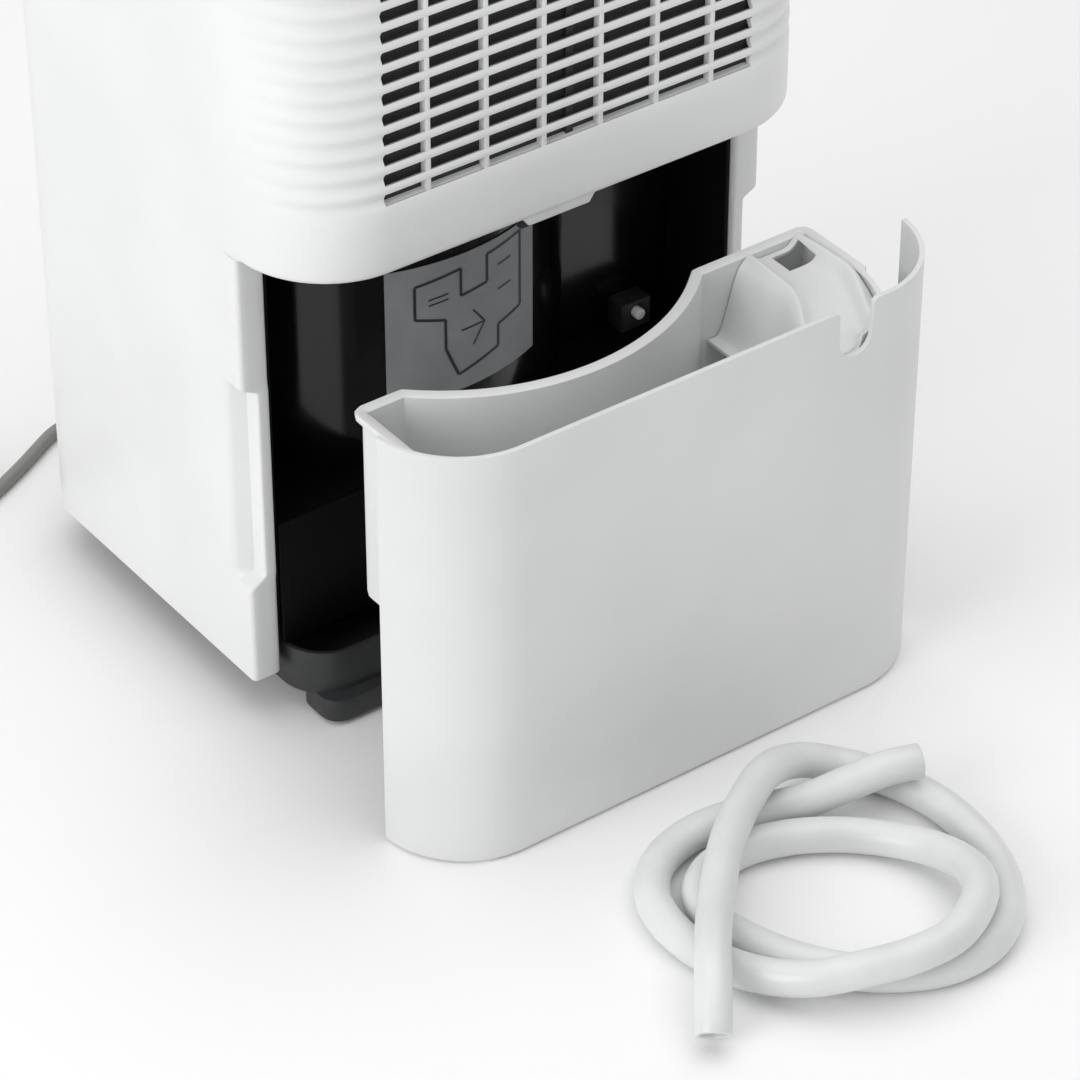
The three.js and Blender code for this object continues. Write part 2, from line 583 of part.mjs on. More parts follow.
// The U-shaped pouring notch goes through the shell and the tank's front wall behind it.
function notchCut() {
  const z = BUCKET_HEIGHT - NOTCH.deep + NOTCH.half;
  const behind = BUCKET_Y + BUCKET_WALL + SHELL_GAP + TANK_THICK + 1;
  return block(NOTCH.x - NOTCH.half, NOTCH.x + NOTCH.half, BUCKET_Y - 1, behind, z, BUCKET_HEIGHT + 1)
    .add(rod(NOTCH.half, [NOTCH.x, BUCKET_Y - 1, z], [NOTCH.x, behind, z], 20));
}

function bucketShell() {
  let shell = prism(shellPlan(0), 0, BUCKET_HEIGHT, 10).subtract(prism(shellPlan(BUCKET_WALL), BUCKET_WALL,
    BUCKET_HEIGHT + 1, 10));
  shell = shell.subtract(block(-WIDTH, WIDTH, BUCKET_Y + BUCKET_SIDE, BUCKET_Y + WIDTH, -1, BUCKET_HEIGHT + 1));
  shell = shell.subtract(block(-PAN_HALF - PAN_CLEAR, PAN_HALF + PAN_CLEAR, FLOOR_REAR, BUCKET_Y + WIDTH,
    -1, PAN_HEIGHT - BUCKET_LIFT + PAN_CLEAR));
  return shell.subtract(notchCut());
}
piece('bucket_front', bucketShell(), bucketWhite);

// ---------------------------------------------------------------- bucket: water tank
// Its plan is the shell's inside in front and a concave arc at the back that clears the housing.
function tankPlan(inset, rear) {
  const front = BUCKET_WALL + SHELL_GAP + inset;
  const radius = HOLLOW_RADIUS + inset;
  const y1 = rear - inset;
  const reach = Math.asin((HOLLOW_Y - y1) / radius);
  const half = TANK_HALF - inset;
  const shape = new THREE.Shape();
  const corner = BUCKET_RADIUS - front;
  const y0 = BUCKET_Y + front;
  shape.moveTo(-half + corner, y0);
  shape.lineTo(half - corner, y0);
  shape.absarc(half - corner, y0 + corner, corner, -Math.PI / 2, 0);
  shape.lineTo(half, y1);
  shape.lineTo(DOME_X + radius * Math.cos(reach), y1);
  shape.absarc(DOME_X, HOLLOW_Y, radius, 2 * Math.PI - reach, Math.PI + reach, true);
  shape.lineTo(-half, y1);
  shape.lineTo(-half, y0 + corner);
  shape.absarc(-half + corner, y0 + corner, corner, Math.PI, Math.PI * 1.5);
  shape.closePath();
  return shape;
}

function bucketTank() {
  const low = BUCKET_WALL + SHELL_GAP;
  const thick = TANK_THICK;
  const y0 = BUCKET_Y + BUCKET_WALL + SHELL_GAP;
  const upper = prism(tankPlan(0, TANK_REAR_Y), TANK_STEP, TANK_RIM, 16);
  const lowerBlock = (inset, z0, z1) => block(-TANK_HALF + inset, TANK_HALF - inset, y0 + inset,
    FLOOR_REAR - inset, z0, z1).intersect(prism(shellPlan(BUCKET_WALL + SHELL_GAP + inset), z0, z1));
  let tank = upper.add(lowerBlock(0, low, TANK_STEP + 1));
  tank = tank.add(prism(tankPlan(-FLANGE, TANK_REAR_Y), TANK_RIM - 3, TANK_RIM, 16)
    .subtract(block(-WIDTH, WIDTH, BUCKET_Y - 10, BUCKET_Y + BUCKET_SIDE + 1, 0, HEIGHT)));
  tank = tank.subtract(prism(tankPlan(thick, TANK_REAR_Y), TANK_STEP + thick, TANK_RIM + 1, 16));
  tank = tank.subtract(lowerBlock(thick, low + thick, TANK_STEP + thick + 1));
  return tank.subtract(notchCut());
}
piece('bucket_tank', bucketTank(), bucketWhite);

// ---------------------------------------------------------------- bucket: float and its cage
const CAGE = { x: 96, half: 17, front: TANK_REAR_Y - 36, rear: TANK_REAR_Y - 3 };
function floatCage() {
  let cage = block(CAGE.x - CAGE.half, CAGE.x + CAGE.half, CAGE.front, CAGE.rear, TANK_STEP + 2.4, 184);
  cage = cage.subtract(block(CAGE.x - CAGE.half + 2, CAGE.x + CAGE.half - 2, CAGE.front + 2, CAGE.rear - 2,
    TANK_STEP + 1, 182));
  return cage.subtract(block(CAGE.x - CAGE.half + 4, CAGE.x + CAGE.half - 4, CAGE.front - 1, CAGE.front + 3,
    TANK_STEP + 10, 160));
}
piece('float_cage', floatCage(), bucketWhite);

const FLOAT = { half: 11, deep: 10, low: 118, tall: 34 };
function bucketFloat() {
  const y = (CAGE.front + CAGE.rear) / 2;
  return block(CAGE.x - FLOAT.half, CAGE.x + FLOAT.half, y - FLOAT.deep, y + FLOAT.deep, FLOAT.low,
    FLOAT.low + FLOAT.tall);
}
piece('bucket_float', bucketFloat(), foam);

// ---------------------------------------------------------------- mains cord, with its strain relief and plug
const CORD_RADIUS = CORD_DIAMETER / 2;
const RELIEF = { inside: 3, long: 26 };
const RELIEF_END = BACK_Y - RELIEF.inside + RELIEF.long;

function strainRelief() {
  const profile = [[0, 0], [6.5, 0], [6.5, 3.3], [9, 3.3], [9, 6], [6, 7], [4.4, 26], [0, 26]];
  const cone = new THREE.LatheGeometry(profile.map(([r, y]) => new THREE.Vector2(r, y)), 20);
  cone.translate(CORD_EXIT.x, BACK_Y - RELIEF.inside, CORD_EXIT.z);
  return solid(cone);
}
piece('strain_relief', strainRelief(), rubber);

// The cord's coil: two layers of three turns, wound clockwise seen from above.
const CORD_COIL = { x: -205, y: 242.5, inner: 30.5, outer: 44.5, layers: 2 };
const FLOOR_CORD_Z = CORD_RADIUS + 0.1;
const COIL_HEIGHT = CORD_COIL.layers * CORD_DIAMETER + 0.2;

function ring(grow) {
  const r0 = CORD_COIL.inner - CORD_RADIUS - grow;
  const r1 = CORD_COIL.outer + CORD_RADIUS + grow;
  const profile = [[r0, 0.1 - grow], [r1, 0.1 - grow], [r1, COIL_HEIGHT + grow], [r0, COIL_HEIGHT + grow],
    [r0, 0.1 - grow]];
  const turned = new THREE.LatheGeometry(profile.map(([r, z]) => new THREE.Vector2(r, z)), 32);
  turned.rotateX(Math.PI / 2);
  turned.translate(CORD_COIL.x, CORD_COIL.y, 0);
  return solid(turned);
}
piece('cord_coil', ring(0), cordGrey);

const cordRoute = [
  [-70, RELIEF_END + 0.5, 34], [-70, 203, 33.9], [-70.4, 210, 31.2], [-71.6, 217, 25.5], [-74, 224, 18.4],
  [-77.3, 230.5, 11.6],
  [-82.4, 236, 6.6], [-89, 239.8, 4.1], [-97, 240.5, FLOOR_CORD_Z], [-107, 237.5, FLOOR_CORD_Z],
  [-118, 231.5, FLOOR_CORD_Z], [-130, 224.5, FLOOR_CORD_Z], [-143, 217.5, FLOOR_CORD_Z],
  [-157, 210.5, FLOOR_CORD_Z], [-172, 204, FLOOR_CORD_Z], [-188, 199.5, FLOOR_CORD_Z],
  [-205, 198, FLOOR_CORD_Z]];
piece('mains_cord', solid(bentRod(CORD_RADIUS, cordRoute, 32, 8)).subtract(ring(GAP)), cordGrey);

const PLUG = { x: CORD_COIL.x - CORD_COIL.outer, y: 276, z: 9.6, long: 38, wide: 30, thick: 18, sleeve: 12, pin: 19 };
const tailRoute = [[PLUG.x, CORD_COIL.y, 1.5 * CORD_DIAMETER + 0.1], [PLUG.x, 252, 10.5], [PLUG.x, 262, 10],
  [PLUG.x, PLUG.y - GAP, PLUG.z]];
piece('cord_tail', solid(bentRod(CORD_RADIUS, tailRoute, 8)).subtract(ring(GAP)), cordGrey);

function plugBody() {
  const y0 = PLUG.y + PLUG.sleeve;
  const grip = plan(PLUG.x - PLUG.wide / 2, PLUG.x + PLUG.wide / 2, y0, y0 + PLUG.long, 9, 3);
  const sleeve = new THREE.CylinderGeometry(5.5, 4.4, PLUG.sleeve + 1, 16);
  sleeve.translate(PLUG.x, PLUG.y + (PLUG.sleeve + 1) / 2, PLUG.z);
  return prism(grip, PLUG.z - PLUG.thick / 2, PLUG.z + PLUG.thick / 2).add(solid(sleeve));
}
piece('plug_body', plugBody(), rubber);
const PIN = { apart: 19, radius: 2.4 };
for (const [name, side] of [['plug_pin_left', -1], ['plug_pin_right', 1]]) {
  const x = PLUG.x + (side * PIN.apart) / 2;
  const y = PLUG.y + PLUG.sleeve + PLUG.long + GAP;
  piece(name, rod(PIN.radius, [x, y, PLUG.z], [x, y + PLUG.pin, PLUG.z], 16), steel);
}

// ---------------------------------------------------------------- drain hose, loose on the floor
const hoseRoute = [
  [-114.5, -333, 9.4], [-104, -319, 21.5], [-88, -298, 28], [-66, -273, 28.4], [-42, -250, 28.4],
  [-19, -233, 28], [5, -220.5, 27.3], [28, -216, 19], [46, -222, 11.5], [60, -240, 9], [68, -266, 8.7],
  [68, -293, 8.7], [61, -320, 8.7], [47, -343, 8.7], [26, -357, 8.7], [2, -359, 8.7], [-21, -350, 8.7],
  [-40, -334, 8.7], [-54, -314, 8.7], [-63, -292, 8.7], [-66.5, -272, 8.7], [-62, -255, 8.7],
  [-48, -244, 8.7], [-27, -241, 8.7], [-5, -246.5, 8.7], [15, -258, 8.7], [30, -273, 9.5],
  [40, -293, 13], [42, -315, 18.5], [36, -335, 23.5], [22, -349, 26], [1, -358.5, 26.3], [-21, -358, 26],
  [-43, -350, 23.5], [-62, -336, 17.5], [-75, -316, 12], [-83, -293, 9], [-86, -269, 8.7],
  [-81, -246, 8.7], [-66, -228, 8.7], [-45, -219.5, 8.7], [-22, -219.5, 8.9], [0, -226, 9],
  [19, -236, 13.5], [37, -245, 21.5], [53, -252, 26.8], [66, -257, 27.2]];
const HOSE_STEPS = 72;
piece('drain_hose', bentRod(HOSE_DIAMETER / 2, hoseRoute, HOSE_STEPS, CORD_SIDES), milky);

export default group;
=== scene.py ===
# %% [markdown]
# A compact compressor dehumidifier, seen from its left front corner and from a little above. The water
# bucket has been lifted out and stands in front of its bay, and the drain hose lies coiled on the floor.
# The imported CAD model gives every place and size. This file gives the surfaces that are seen: smooth
# mouldings worked out with numpy, and plastics, rubber and metal worked out with shader maths.

# %% the frame
import json
import math

import bmesh
import bpy
import numpy as np
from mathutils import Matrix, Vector
from mathutils.geometry import tessellate_polygon

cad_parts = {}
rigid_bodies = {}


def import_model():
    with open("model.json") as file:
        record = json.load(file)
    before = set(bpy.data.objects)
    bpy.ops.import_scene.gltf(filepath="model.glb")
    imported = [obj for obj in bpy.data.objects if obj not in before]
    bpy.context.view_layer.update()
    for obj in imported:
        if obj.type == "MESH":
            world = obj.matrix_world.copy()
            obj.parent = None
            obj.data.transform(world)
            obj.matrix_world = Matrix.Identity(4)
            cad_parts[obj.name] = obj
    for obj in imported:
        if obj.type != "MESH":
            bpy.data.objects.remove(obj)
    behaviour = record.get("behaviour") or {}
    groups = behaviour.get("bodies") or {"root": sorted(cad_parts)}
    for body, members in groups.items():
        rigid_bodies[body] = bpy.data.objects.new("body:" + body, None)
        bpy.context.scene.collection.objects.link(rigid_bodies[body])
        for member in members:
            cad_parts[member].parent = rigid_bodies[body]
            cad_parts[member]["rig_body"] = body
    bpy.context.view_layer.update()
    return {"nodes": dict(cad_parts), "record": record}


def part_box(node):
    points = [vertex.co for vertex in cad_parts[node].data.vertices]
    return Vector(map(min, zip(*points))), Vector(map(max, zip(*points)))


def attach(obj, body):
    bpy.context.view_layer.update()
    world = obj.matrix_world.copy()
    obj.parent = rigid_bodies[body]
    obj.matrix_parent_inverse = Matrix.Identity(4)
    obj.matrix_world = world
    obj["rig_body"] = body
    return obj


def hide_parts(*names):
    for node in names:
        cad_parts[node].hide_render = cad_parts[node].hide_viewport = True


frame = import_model()
nodes = frame["nodes"]
MM = 0.001

# %% [markdown]
# The camera comes first. A long lens keeps the upright edges nearly parallel.
# It is placed by its turn round the object, its height angle, its distance and the point it aims at.

# %% camera
CAMERA_TURN = math.radians(-36.2)
CAMERA_RISE = math.radians(36.6)
CAMERA_DISTANCE = 2.212
CAMERA_AIM = Vector((0.0198, -0.0208, 0.034))
CAMERA_LENS = 149.3


def make_camera():
    """The camera stands on a sphere round its aim: turn about the upright axis, then rise."""
    data = bpy.data.cameras.new("camera")
    data.lens = CAMERA_LENS
    data.sensor_width = 36
    camera = bpy.data.objects.new("camera", data)
    bpy.context.scene.collection.objects.link(camera)
    level = math.cos(CAMERA_RISE)
    back = Vector((math.sin(CAMERA_TURN) * level, -math.cos(CAMERA_TURN) * level, math.sin(CAMERA_RISE)))
    camera.location = CAMERA_AIM + back * CAMERA_DISTANCE
    camera.rotation_euler = (-back).to_track_quat("-Z", "Y").to_euler()
    bpy.context.scene.camera = camera
    return camera


print("camera at", [round(v, 3) for v in make_camera().location])

# %% [markdown]
# Every new piece is a grid of points: rows run one way over the surface and columns the other. Two small
# helpers turn such a grid into faces and into a mesh object at the origin.

# %% grids and meshes


def grid_faces(rows, columns, close_rows=False, close_columns=False):
    """Faces of a grid of rows by columns, each made of four neighbouring points."""
    r = np.arange(rows if close_rows else rows - 1)
    c = np.arange(columns if close_columns else columns - 1)
    r, c = np.meshgrid(r, c, indexing="ij")
    r1, c1 = (r + 1) % rows, (c + 1) % columns
    faces = np.stack([r * columns + c, r * columns + c1, r1 * columns + c1, r1 * columns + c], -1)
    return faces.reshape(-1, 4)


def make_mesh(name, parts):
    """One mesh object from several (points, faces) pairs. Points that meet are merged."""
    points, faces, start = [], [], 0
    for some_points, some_faces in parts:
        some_points = np.asarray(some_points, float).reshape(-1, 3)
        points.append(some_points)
        faces += [[int(i) + start for i in face] for face in some_faces]
        start += len(some_points)
    mesh = bpy.data.meshes.new(name)
    mesh.from_pydata(np.concatenate(points).tolist(), [], faces)
    obj = bpy.data.objects.new(name, mesh)
    bpy.context.scene.collection.objects.link(obj)
    work = bmesh.new()
    work.from_mesh(mesh)
    bmesh.ops.remove_doubles(work, verts=work.verts, dist=0.01 * MM)
    bmesh.ops.dissolve_degenerate(work, dist=0.005 * MM, edges=work.edges)
    work.to_mesh(mesh)
    work.free()
    return obj


def settle(obj, sharp_degrees=32):
    """Applies the modifiers, smooths the shading and keeps only the real edges sharp."""
    depsgraph = bpy.context.evaluated_depsgraph_get()
    mesh = bpy.data.meshes.new_from_object(obj.evaluated_get(depsgraph), depsgraph=depsgraph)
    obj.modifiers.clear()
    obj.data = mesh
    mesh.polygons.foreach_set("use_smooth", np.ones(len(mesh.polygons), bool))
    mesh.set_sharp_from_angle(angle=math.radians(sharp_degrees))
    return obj


def thicken(obj, thickness, inwards=True):
    """Gives a sheet its wall, on the side that its faces point away from."""
    wall = obj.modifiers.new("wall", "SOLIDIFY")
    wall.thickness = thickness
    wall.offset = -1 if inwards else 1
    wall.use_even_offset = True
    return obj


def soften(obj, width, segments=2, degrees=30):
    """Rounds the edges that are sharper than an angle."""
    bevel = obj.modifiers.new("round", "BEVEL")
    bevel.width = width
    bevel.segments = segments
    bevel.limit_method = "ANGLE"
    bevel.angle_limit = math.radians(degrees)
    bevel.use_clamp_overlap = True
    return obj


def outward(obj):
    """Turns all faces of a closed or open sheet to point the same way, outwards."""
    work = bmesh.new()
    work.from_mesh(obj.data)
    bmesh.ops.recalc_face_normals(work, faces=work.faces)
    work.to_mesh(obj.data)
    work.free()
    return obj


def place(obj, body, slot, material, *replaced):
    """Gives a finished piece its material and body, and hides the CAD nodes that it stands for. The slot is
    not used.
    """
    obj.data.materials.clear()
    obj.data.materials.append(material)
    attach(obj, body)
    if replaced:
        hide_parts(*replaced)
    return obj


# %% [markdown]
# Shader maths reads best as plain arithmetic. A small class wraps a socket, so that adding or multiplying
# two of them adds the Math nodes, and one method makes any other node.

# %% sockets as values


class Value:
    """A number that varies over a surface: the output socket of a shader node."""

    def __init__(self, maker, socket):
        self.maker = maker
        self.socket = socket

    def math(self, operation, other, swap=False):
        pair = (other, self) if swap else (self, other)
        return self.maker.node("ShaderNodeMath", {"operation": operation}, {0: pair[0], 1: pair[1]})

    def __add__(self, other):
        return self.math("ADD", other)

    def __radd__(self, other):
        return self.math("ADD", other, True)

    def __sub__(self, other):
        return self.math("SUBTRACT", other)

    def __rsub__(self, other):
        return self.math("SUBTRACT", other, True)

    def __mul__(self, other):
        return self.math("MULTIPLY", other)

    def __rmul__(self, other):
        return self.math("MULTIPLY", other, True)


class Finish:
    """A material with one Principled shader, and short ways to build what varies over it."""

    def __init__(self, name, color, roughness, metallic=0.0, **constants):
        self.material = bpy.data.materials.new(name)
        self.material.use_nodes = True
        self.tree = self.material.node_tree
        self.shader = self.tree.nodes["Principled BSDF"]
        self.shader.inputs["Base Color"].default_value = (*color, 1)
        self.shader.inputs["Roughness"].default_value = roughness
        self.shader.inputs["Metallic"].default_value = metallic
        for socket, value in constants.items():
            self.shader.inputs[socket.replace("_", " ")].default_value = value
        self.color = color
        self.place = self.node("ShaderNodeTexCoord", {}, {}, "Object")

    def node(self, kind, settings, sockets, output=0):
        """Any node: its type, its settings, the values or links of its sockets, the output that is used."""
        made = self.tree.nodes.new(kind)
        for key, value in settings.items():
            if key == "stops":
                ramp = made.color_ramp.elements
                while len(ramp) < len(value):
                    ramp.new(0.5)
                for element, (position, shade) in zip(ramp, value):
                    element.position = position
                    element.color = (*shade, 1) if hasattr(shade, "__len__") else (shade,) * 3 + (1,)
            else:
                setattr(made, key, value)
        for key, value in sockets.items():
            if isinstance(value, Value):
                self.tree.links.new(value.socket, made.inputs[key])
            else:
                made.inputs[key].default_value = value
        return Value(self, made.outputs[output])

    def noise(self, scale, detail=2.0, stretch=None):
        """Soft random blotches, a number near a half, this many to the metre."""
        where = self.place
        if stretch:
            where = self.node("ShaderNodeMapping", {}, {"Vector": where, "Scale": stretch})
        return self.node("ShaderNodeTexNoise", {}, {"Vector": where, "Scale": scale, "Detail": detail})

    def ramp(self, value, *stops):
        return self.node("ShaderNodeValToRGB", {"stops": stops}, {"Fac": value})

    def mix(self, factor, first, second):
        """A colour between two colours."""
        colors = [c if isinstance(c, Value) else (*c, 1) for c in (first, second)]
        return self.node("ShaderNodeMix", {"data_type": "RGBA"}, {0: factor, 6: colors[0], 7: colors[1]}, 2)

    def set(self, socket, value):
        self.tree.links.new(value.socket, self.shader.inputs[socket])

    def bump(self, height, strength, distance):
        self.set("Normal", self.node("ShaderNodeBump", {}, {"Height": height, "Strength": strength,
                                                            "Distance": distance}))


# %% [markdown]
# The casing is injection-moulded plastic. Up close such a surface has a fine spark-eroded grain, its gloss
# wanders a little where the mould was polished, and it is never one even white.

# %% plastics


def moulded(name, color, roughness, grain=2600, depth=0.02 * MM, vary=0.03, **constants):
    """Moulded plastic: grain as bump, slow changes in gloss, and a slight mottling of the colour."""
    finish = Finish(name, color, roughness, **constants)
    slow = finish.noise(9, 3)
    fine = finish.noise(grain, 2)
    darker = tuple(c * (1 - 2.2 * vary) for c in color)
    finish.set("Base Color", finish.mix(finish.ramp(slow, (0.35, 0.0), (0.7, 1.0)), darker, color))
    finish.set("Roughness", roughness - 0.04 + slow * 0.08 + fine * 0.03)
    finish.bump(fine, 0.25, depth)
    return finish.material


white = moulded("white_plastic", (0.83, 0.835, 0.835), 0.36, Coat_Weight=0.08, Coat_Roughness=0.2)
bucket_white = moulded("bucket_plastic", (0.76, 0.765, 0.765), 0.42, Subsurface_Weight=0.06,
                       Subsurface_Radius=(0.01, 0.01, 0.01))
dark_grey = moulded("dark_plastic", (0.028, 0.029, 0.031), 0.42, grain=1800, depth=0.04 * MM, vary=0.1)
rubber = moulded("rubber", (0.018, 0.018, 0.019), 0.72, grain=1500, depth=0.05 * MM, vary=0.12)
foam = moulded("foam", (0.80, 0.80, 0.76), 0.92, grain=900, depth=0.3 * MM, vary=0.05)


def glossy_black():
    """Polished black plastic: a thin clear gloss, with faint dust that dulls it in patches."""
    finish = Finish("gloss_black", (0.0035, 0.0035, 0.004), 0.16, Coat_Weight=0.12, Coat_Roughness=0.08,
                    Specular_IOR_Level=0.35)
    dust = finish.ramp(finish.noise(14, 5), (0.45, 0.0), (0.75, 1.0))
    finish.set("Roughness", 0.13 + dust * 0.14)
    finish.set("Base Color", finish.mix(dust * 0.5, (0.003, 0.003, 0.0034), (0.009, 0.009, 0.0095)))
    finish.bump(finish.noise(60, 2), 0.08, 0.2 * MM)
    return finish.material


gloss_black = glossy_black()
bay_black = moulded("bay_black", (0.0022, 0.0022, 0.0024), 0.55, grain=1500, Specular_IOR_Level=0.12)


def milky_tube():
    """Soft milky tube: light goes a little way in, and faint rings of thicker wall run round it."""
    finish = Finish("hose_plastic", (0.77, 0.78, 0.775), 0.34, Subsurface_Weight=0.5,
                    Subsurface_Radius=(0.012, 0.012, 0.012), Coat_Weight=0.15)
    cloud = finish.noise(26, 3)
    finish.set("Base Color", finish.mix(finish.ramp(cloud, (0.3, 0.0), (0.75, 1.0)),
                                        (0.69, 0.70, 0.695), (0.79, 0.80, 0.795)))
    finish.set("Roughness", 0.28 + cloud * 0.14)
    finish.bump(finish.noise(420, 2), 0.15, 0.05 * MM)
    return finish.material


hose_plastic = milky_tube()
cord_sheath = moulded("cord_sheath", (0.27, 0.27, 0.255), 0.5, grain=1400, depth=0.03 * MM, vary=0.08)


def metal(name, color, roughness, stretch):
    """Drawn or rolled metal: fine lines along one axis, which change both gloss and colour."""
    finish = Finish(name, color, roughness, metallic=1.0)
    lines = finish.noise(160, 4, stretch)
    finish.set("Roughness", roughness - 0.08 + lines * 0.22)
    finish.set("Base Color", finish.mix(lines, tuple(c * 0.8 for c in color), color))
    finish.bump(lines, 0.1, 0.05 * MM)
    return finish.material


steel = metal("steel", (0.56, 0.57, 0.58), 0.34, (1, 12, 1))
copper = metal("copper", (0.80, 0.42, 0.26), 0.28, (1, 1, 8))


def striped(name, dark, light, per_metre, axis, metallic, roughness):
    """Thin plates or threads side by side: a saw wave along one axis; its dark bands are painted shade."""
    finish = Finish(name, light, roughness, metallic=metallic)
    wave = finish.node("ShaderNodeTexWave", {"wave_type": "BANDS", "bands_direction": axis},
                       {"Vector": finish.place, "Scale": per_metre / 20 * math.pi, "Distortion": 0.0})
    # the dark bands are painted shade in the gaps between the plates; the light bands are the metal's own
    # colour
    finish.set("Base Color", finish.mix(wave, dark, light))
    finish.bump(wave, 0.5, 0.4 * MM)
    return finish.material


# the near-black first tone is painted shade in the gaps between the fin plates
fins = striped("aluminium_fins", (0.05, 0.052, 0.055), (0.62, 0.64, 0.66), 500, "X", 0.8, 0.4)


def filter_net():
    """A woven net: threads along X and Z, with painted shade in the gaps between them."""
    finish = Finish("filter_net", (0.02, 0.02, 0.021), 0.6)
    waves = [finish.node("ShaderNodeTexWave", {"wave_type": "BANDS", "bands_direction": way},
                         {"Vector": finish.place, "Scale": 250.0}) for way in "XZ"]
    threads = finish.node("ShaderNodeMath", {"operation": "MAXIMUM"}, {0: waves[0], 1: waves[1]})
    # the near-black gap tone is painted shade, seen through the holes between the threads
    finish.set("Base Color", finish.mix(threads, (0.004, 0.004, 0.004), (0.028, 0.028, 0.03)))
    finish.bump(threads, 0.4, 0.3 * MM)
    return finish.material


def sticker():
    """Grey label film with a faint paper tooth and slightly uneven print."""
    finish = Finish("label_film", (0.30, 0.31, 0.32), 0.45)
    blot = finish.noise(34, 4)
    finish.set("Base Color", finish.mix(blot, (0.22, 0.23, 0.24), (0.38, 0.39, 0.40)))
    finish.bump(finish.noise(2200, 2), 0.2, 0.02 * MM)
    return finish.material


net = filter_net()
label_film = sticker()
ink = moulded("label_ink", (0.035, 0.037, 0.04), 0.5)
board_green = moulded("board_green", (0.02, 0.12, 0.055), 0.4, grain=500, depth=0.1 * MM, vary=0.2)
print("materials", len(bpy.data.materials))

# %% [markdown]
# Cords come next, because a free cord has a real length that has to lie somewhere. A hose is a round
# profile carried along a smooth path. The path goes through listed points, and between them it
# follows the same kind of curve as the CAD does, so that both lie in the same place.

# %% swept tubes


def spline(points, step):
    """A centripetal Catmull-Rom curve: each stretch is a cubic that leaves one point towards the point
    after next and reaches the next as if it came from the one before. Resampled to even steps."""
    p = np.asarray(points, float)
    p = np.concatenate([2 * p[:1] - p[1:2], p, 2 * p[-1:] - p[-2:-1]])
    gaps = np.sqrt(np.linalg.norm(np.diff(p, axis=0), axis=1))[:, None]
    a, b, c, d = p[:-3], p[1:-2], p[2:-1], p[3:]
    g0, g1, g2 = gaps[:-2], gaps[1:-1], gaps[2:]
    leave = g1 * ((b - a) / g0 - (c - a) / (g0 + g1) + (c - b) / g1)
    reach = g1 * ((c - b) / g1 - (d - b) / (g1 + g2) + (d - c) / g2)
    t = np.linspace(0, 1, 24, endpoint=False)[:, None, None]
    curve = (b + leave * t + (3 * (c - b) - 2 * leave - reach) * t ** 2
             + (2 * (b - c) + leave + reach) * t ** 3)
    curve = np.concatenate([curve.transpose(1, 0, 2).reshape(-1, 3), p[-2:-1]])
    return even(curve, step)


def even(curve, step):
    """The same curve with points an even step apart along it."""
    along = np.concatenate([[0], np.cumsum(np.linalg.norm(np.diff(curve, axis=0), axis=1))])
    wanted = np.linspace(0, along[-1], int(round(along[-1] / step)) + 1)
    return np.stack([np.interp(wanted, along, curve[:, i]) for i in range(3)], -1)


def length_of(path):
    return float(np.linalg.norm(np.diff(path, axis=0), axis=1).sum())


def swept(name, path, stations, sides=16):
    """A round profile carried along a path. A station is (distance along the path, radius); each gives a
    ring in the plane across the path, made of its sideways and its upward direction."""
    along = np.concatenate([[0], np.cumsum(np.linalg.norm(np.diff(path, axis=0), axis=1))])
    ahead = np.gradient(path, axis=0)
    ahead /= np.linalg.norm(ahead, axis=1)[:, None]
    where, radius = np.array(stations, float).T
    centre = np.stack([np.interp(where, along, path[:, i]) for i in range(3)], -1)
    tangent = np.stack([np.interp(where, along, ahead[:, i]) for i in range(3)], -1)
    tangent /= np.linalg.norm(tangent, axis=1)[:, None]
    side = np.cross(tangent, (0, 0, 1.0))
    side /= np.linalg.norm(side, axis=1)[:, None]
    up = np.cross(side, tangent)
    turn = np.linspace(0, 2 * np.pi, sides, endpoint=False)
    ring = np.cos(turn)[None, :, None] * side[:, None] + np.sin(turn)[None, :, None] * up[:, None]
    points = centre[:, None] + ring * radius[:, None, None]
    obj = make_mesh(name, [(points * MM, grid_faces(len(where), sides, close_columns=True))])
    return settle(outward(obj), 50)


print("sweeping ready")

# %% [markdown]
# The drain hose is a soft milky tube of 17 mm. It lies as it does when it has just been unpacked: two
# turns and a bit, one end crossing over the ring on the left and the other resting on it at the back.
# Its ends are cut square, so the bore shows there.

# %% drain hose
HOSE_DIAMETER = 17.0
HOSE_BORE = 12.0
HOSE_ROUTE = [
    (-114.5, -333, 9.4), (-104, -319, 21.5), (-88, -298, 28), (-66, -273, 28.4), (-42, -250, 28.4),
    (-19, -233, 28), (5, -220.5, 27.3), (28, -216, 19), (46, -222, 11.5), (60, -240, 9),
    (68, -266, 8.7), (68, -293, 8.7), (61, -320, 8.7), (47, -343, 8.7), (26, -357, 8.7),
    (2, -359, 8.7), (-21, -350, 8.7), (-40, -334, 8.7), (-54, -314, 8.7), (-63, -292, 8.7),
    (-66.5, -272, 8.7), (-62, -255, 8.7), (-48, -244, 8.7), (-27, -241, 8.7), (-5, -246.5, 8.7),
    (15, -258, 8.7), (30, -273, 9.5), (40, -293, 13), (42, -315, 18.5), (36, -335, 23.5),
    (22, -349, 26), (1, -358.5, 26.3), (-21, -358, 26), (-43, -350, 23.5), (-62, -336, 17.5),
    (-75, -316, 12), (-83, -293, 9), (-86, -269, 8.7), (-81, -246, 8.7), (-66, -228, 8.7),
    (-45, -219.5, 8.7), (-22, -219.5, 8.9), (0, -226, 9), (19, -236, 13.5), (37, -245, 21.5),
    (53, -252, 26.8), (66, -257, 27.2)
]
BORE_DEPTH = 22.0


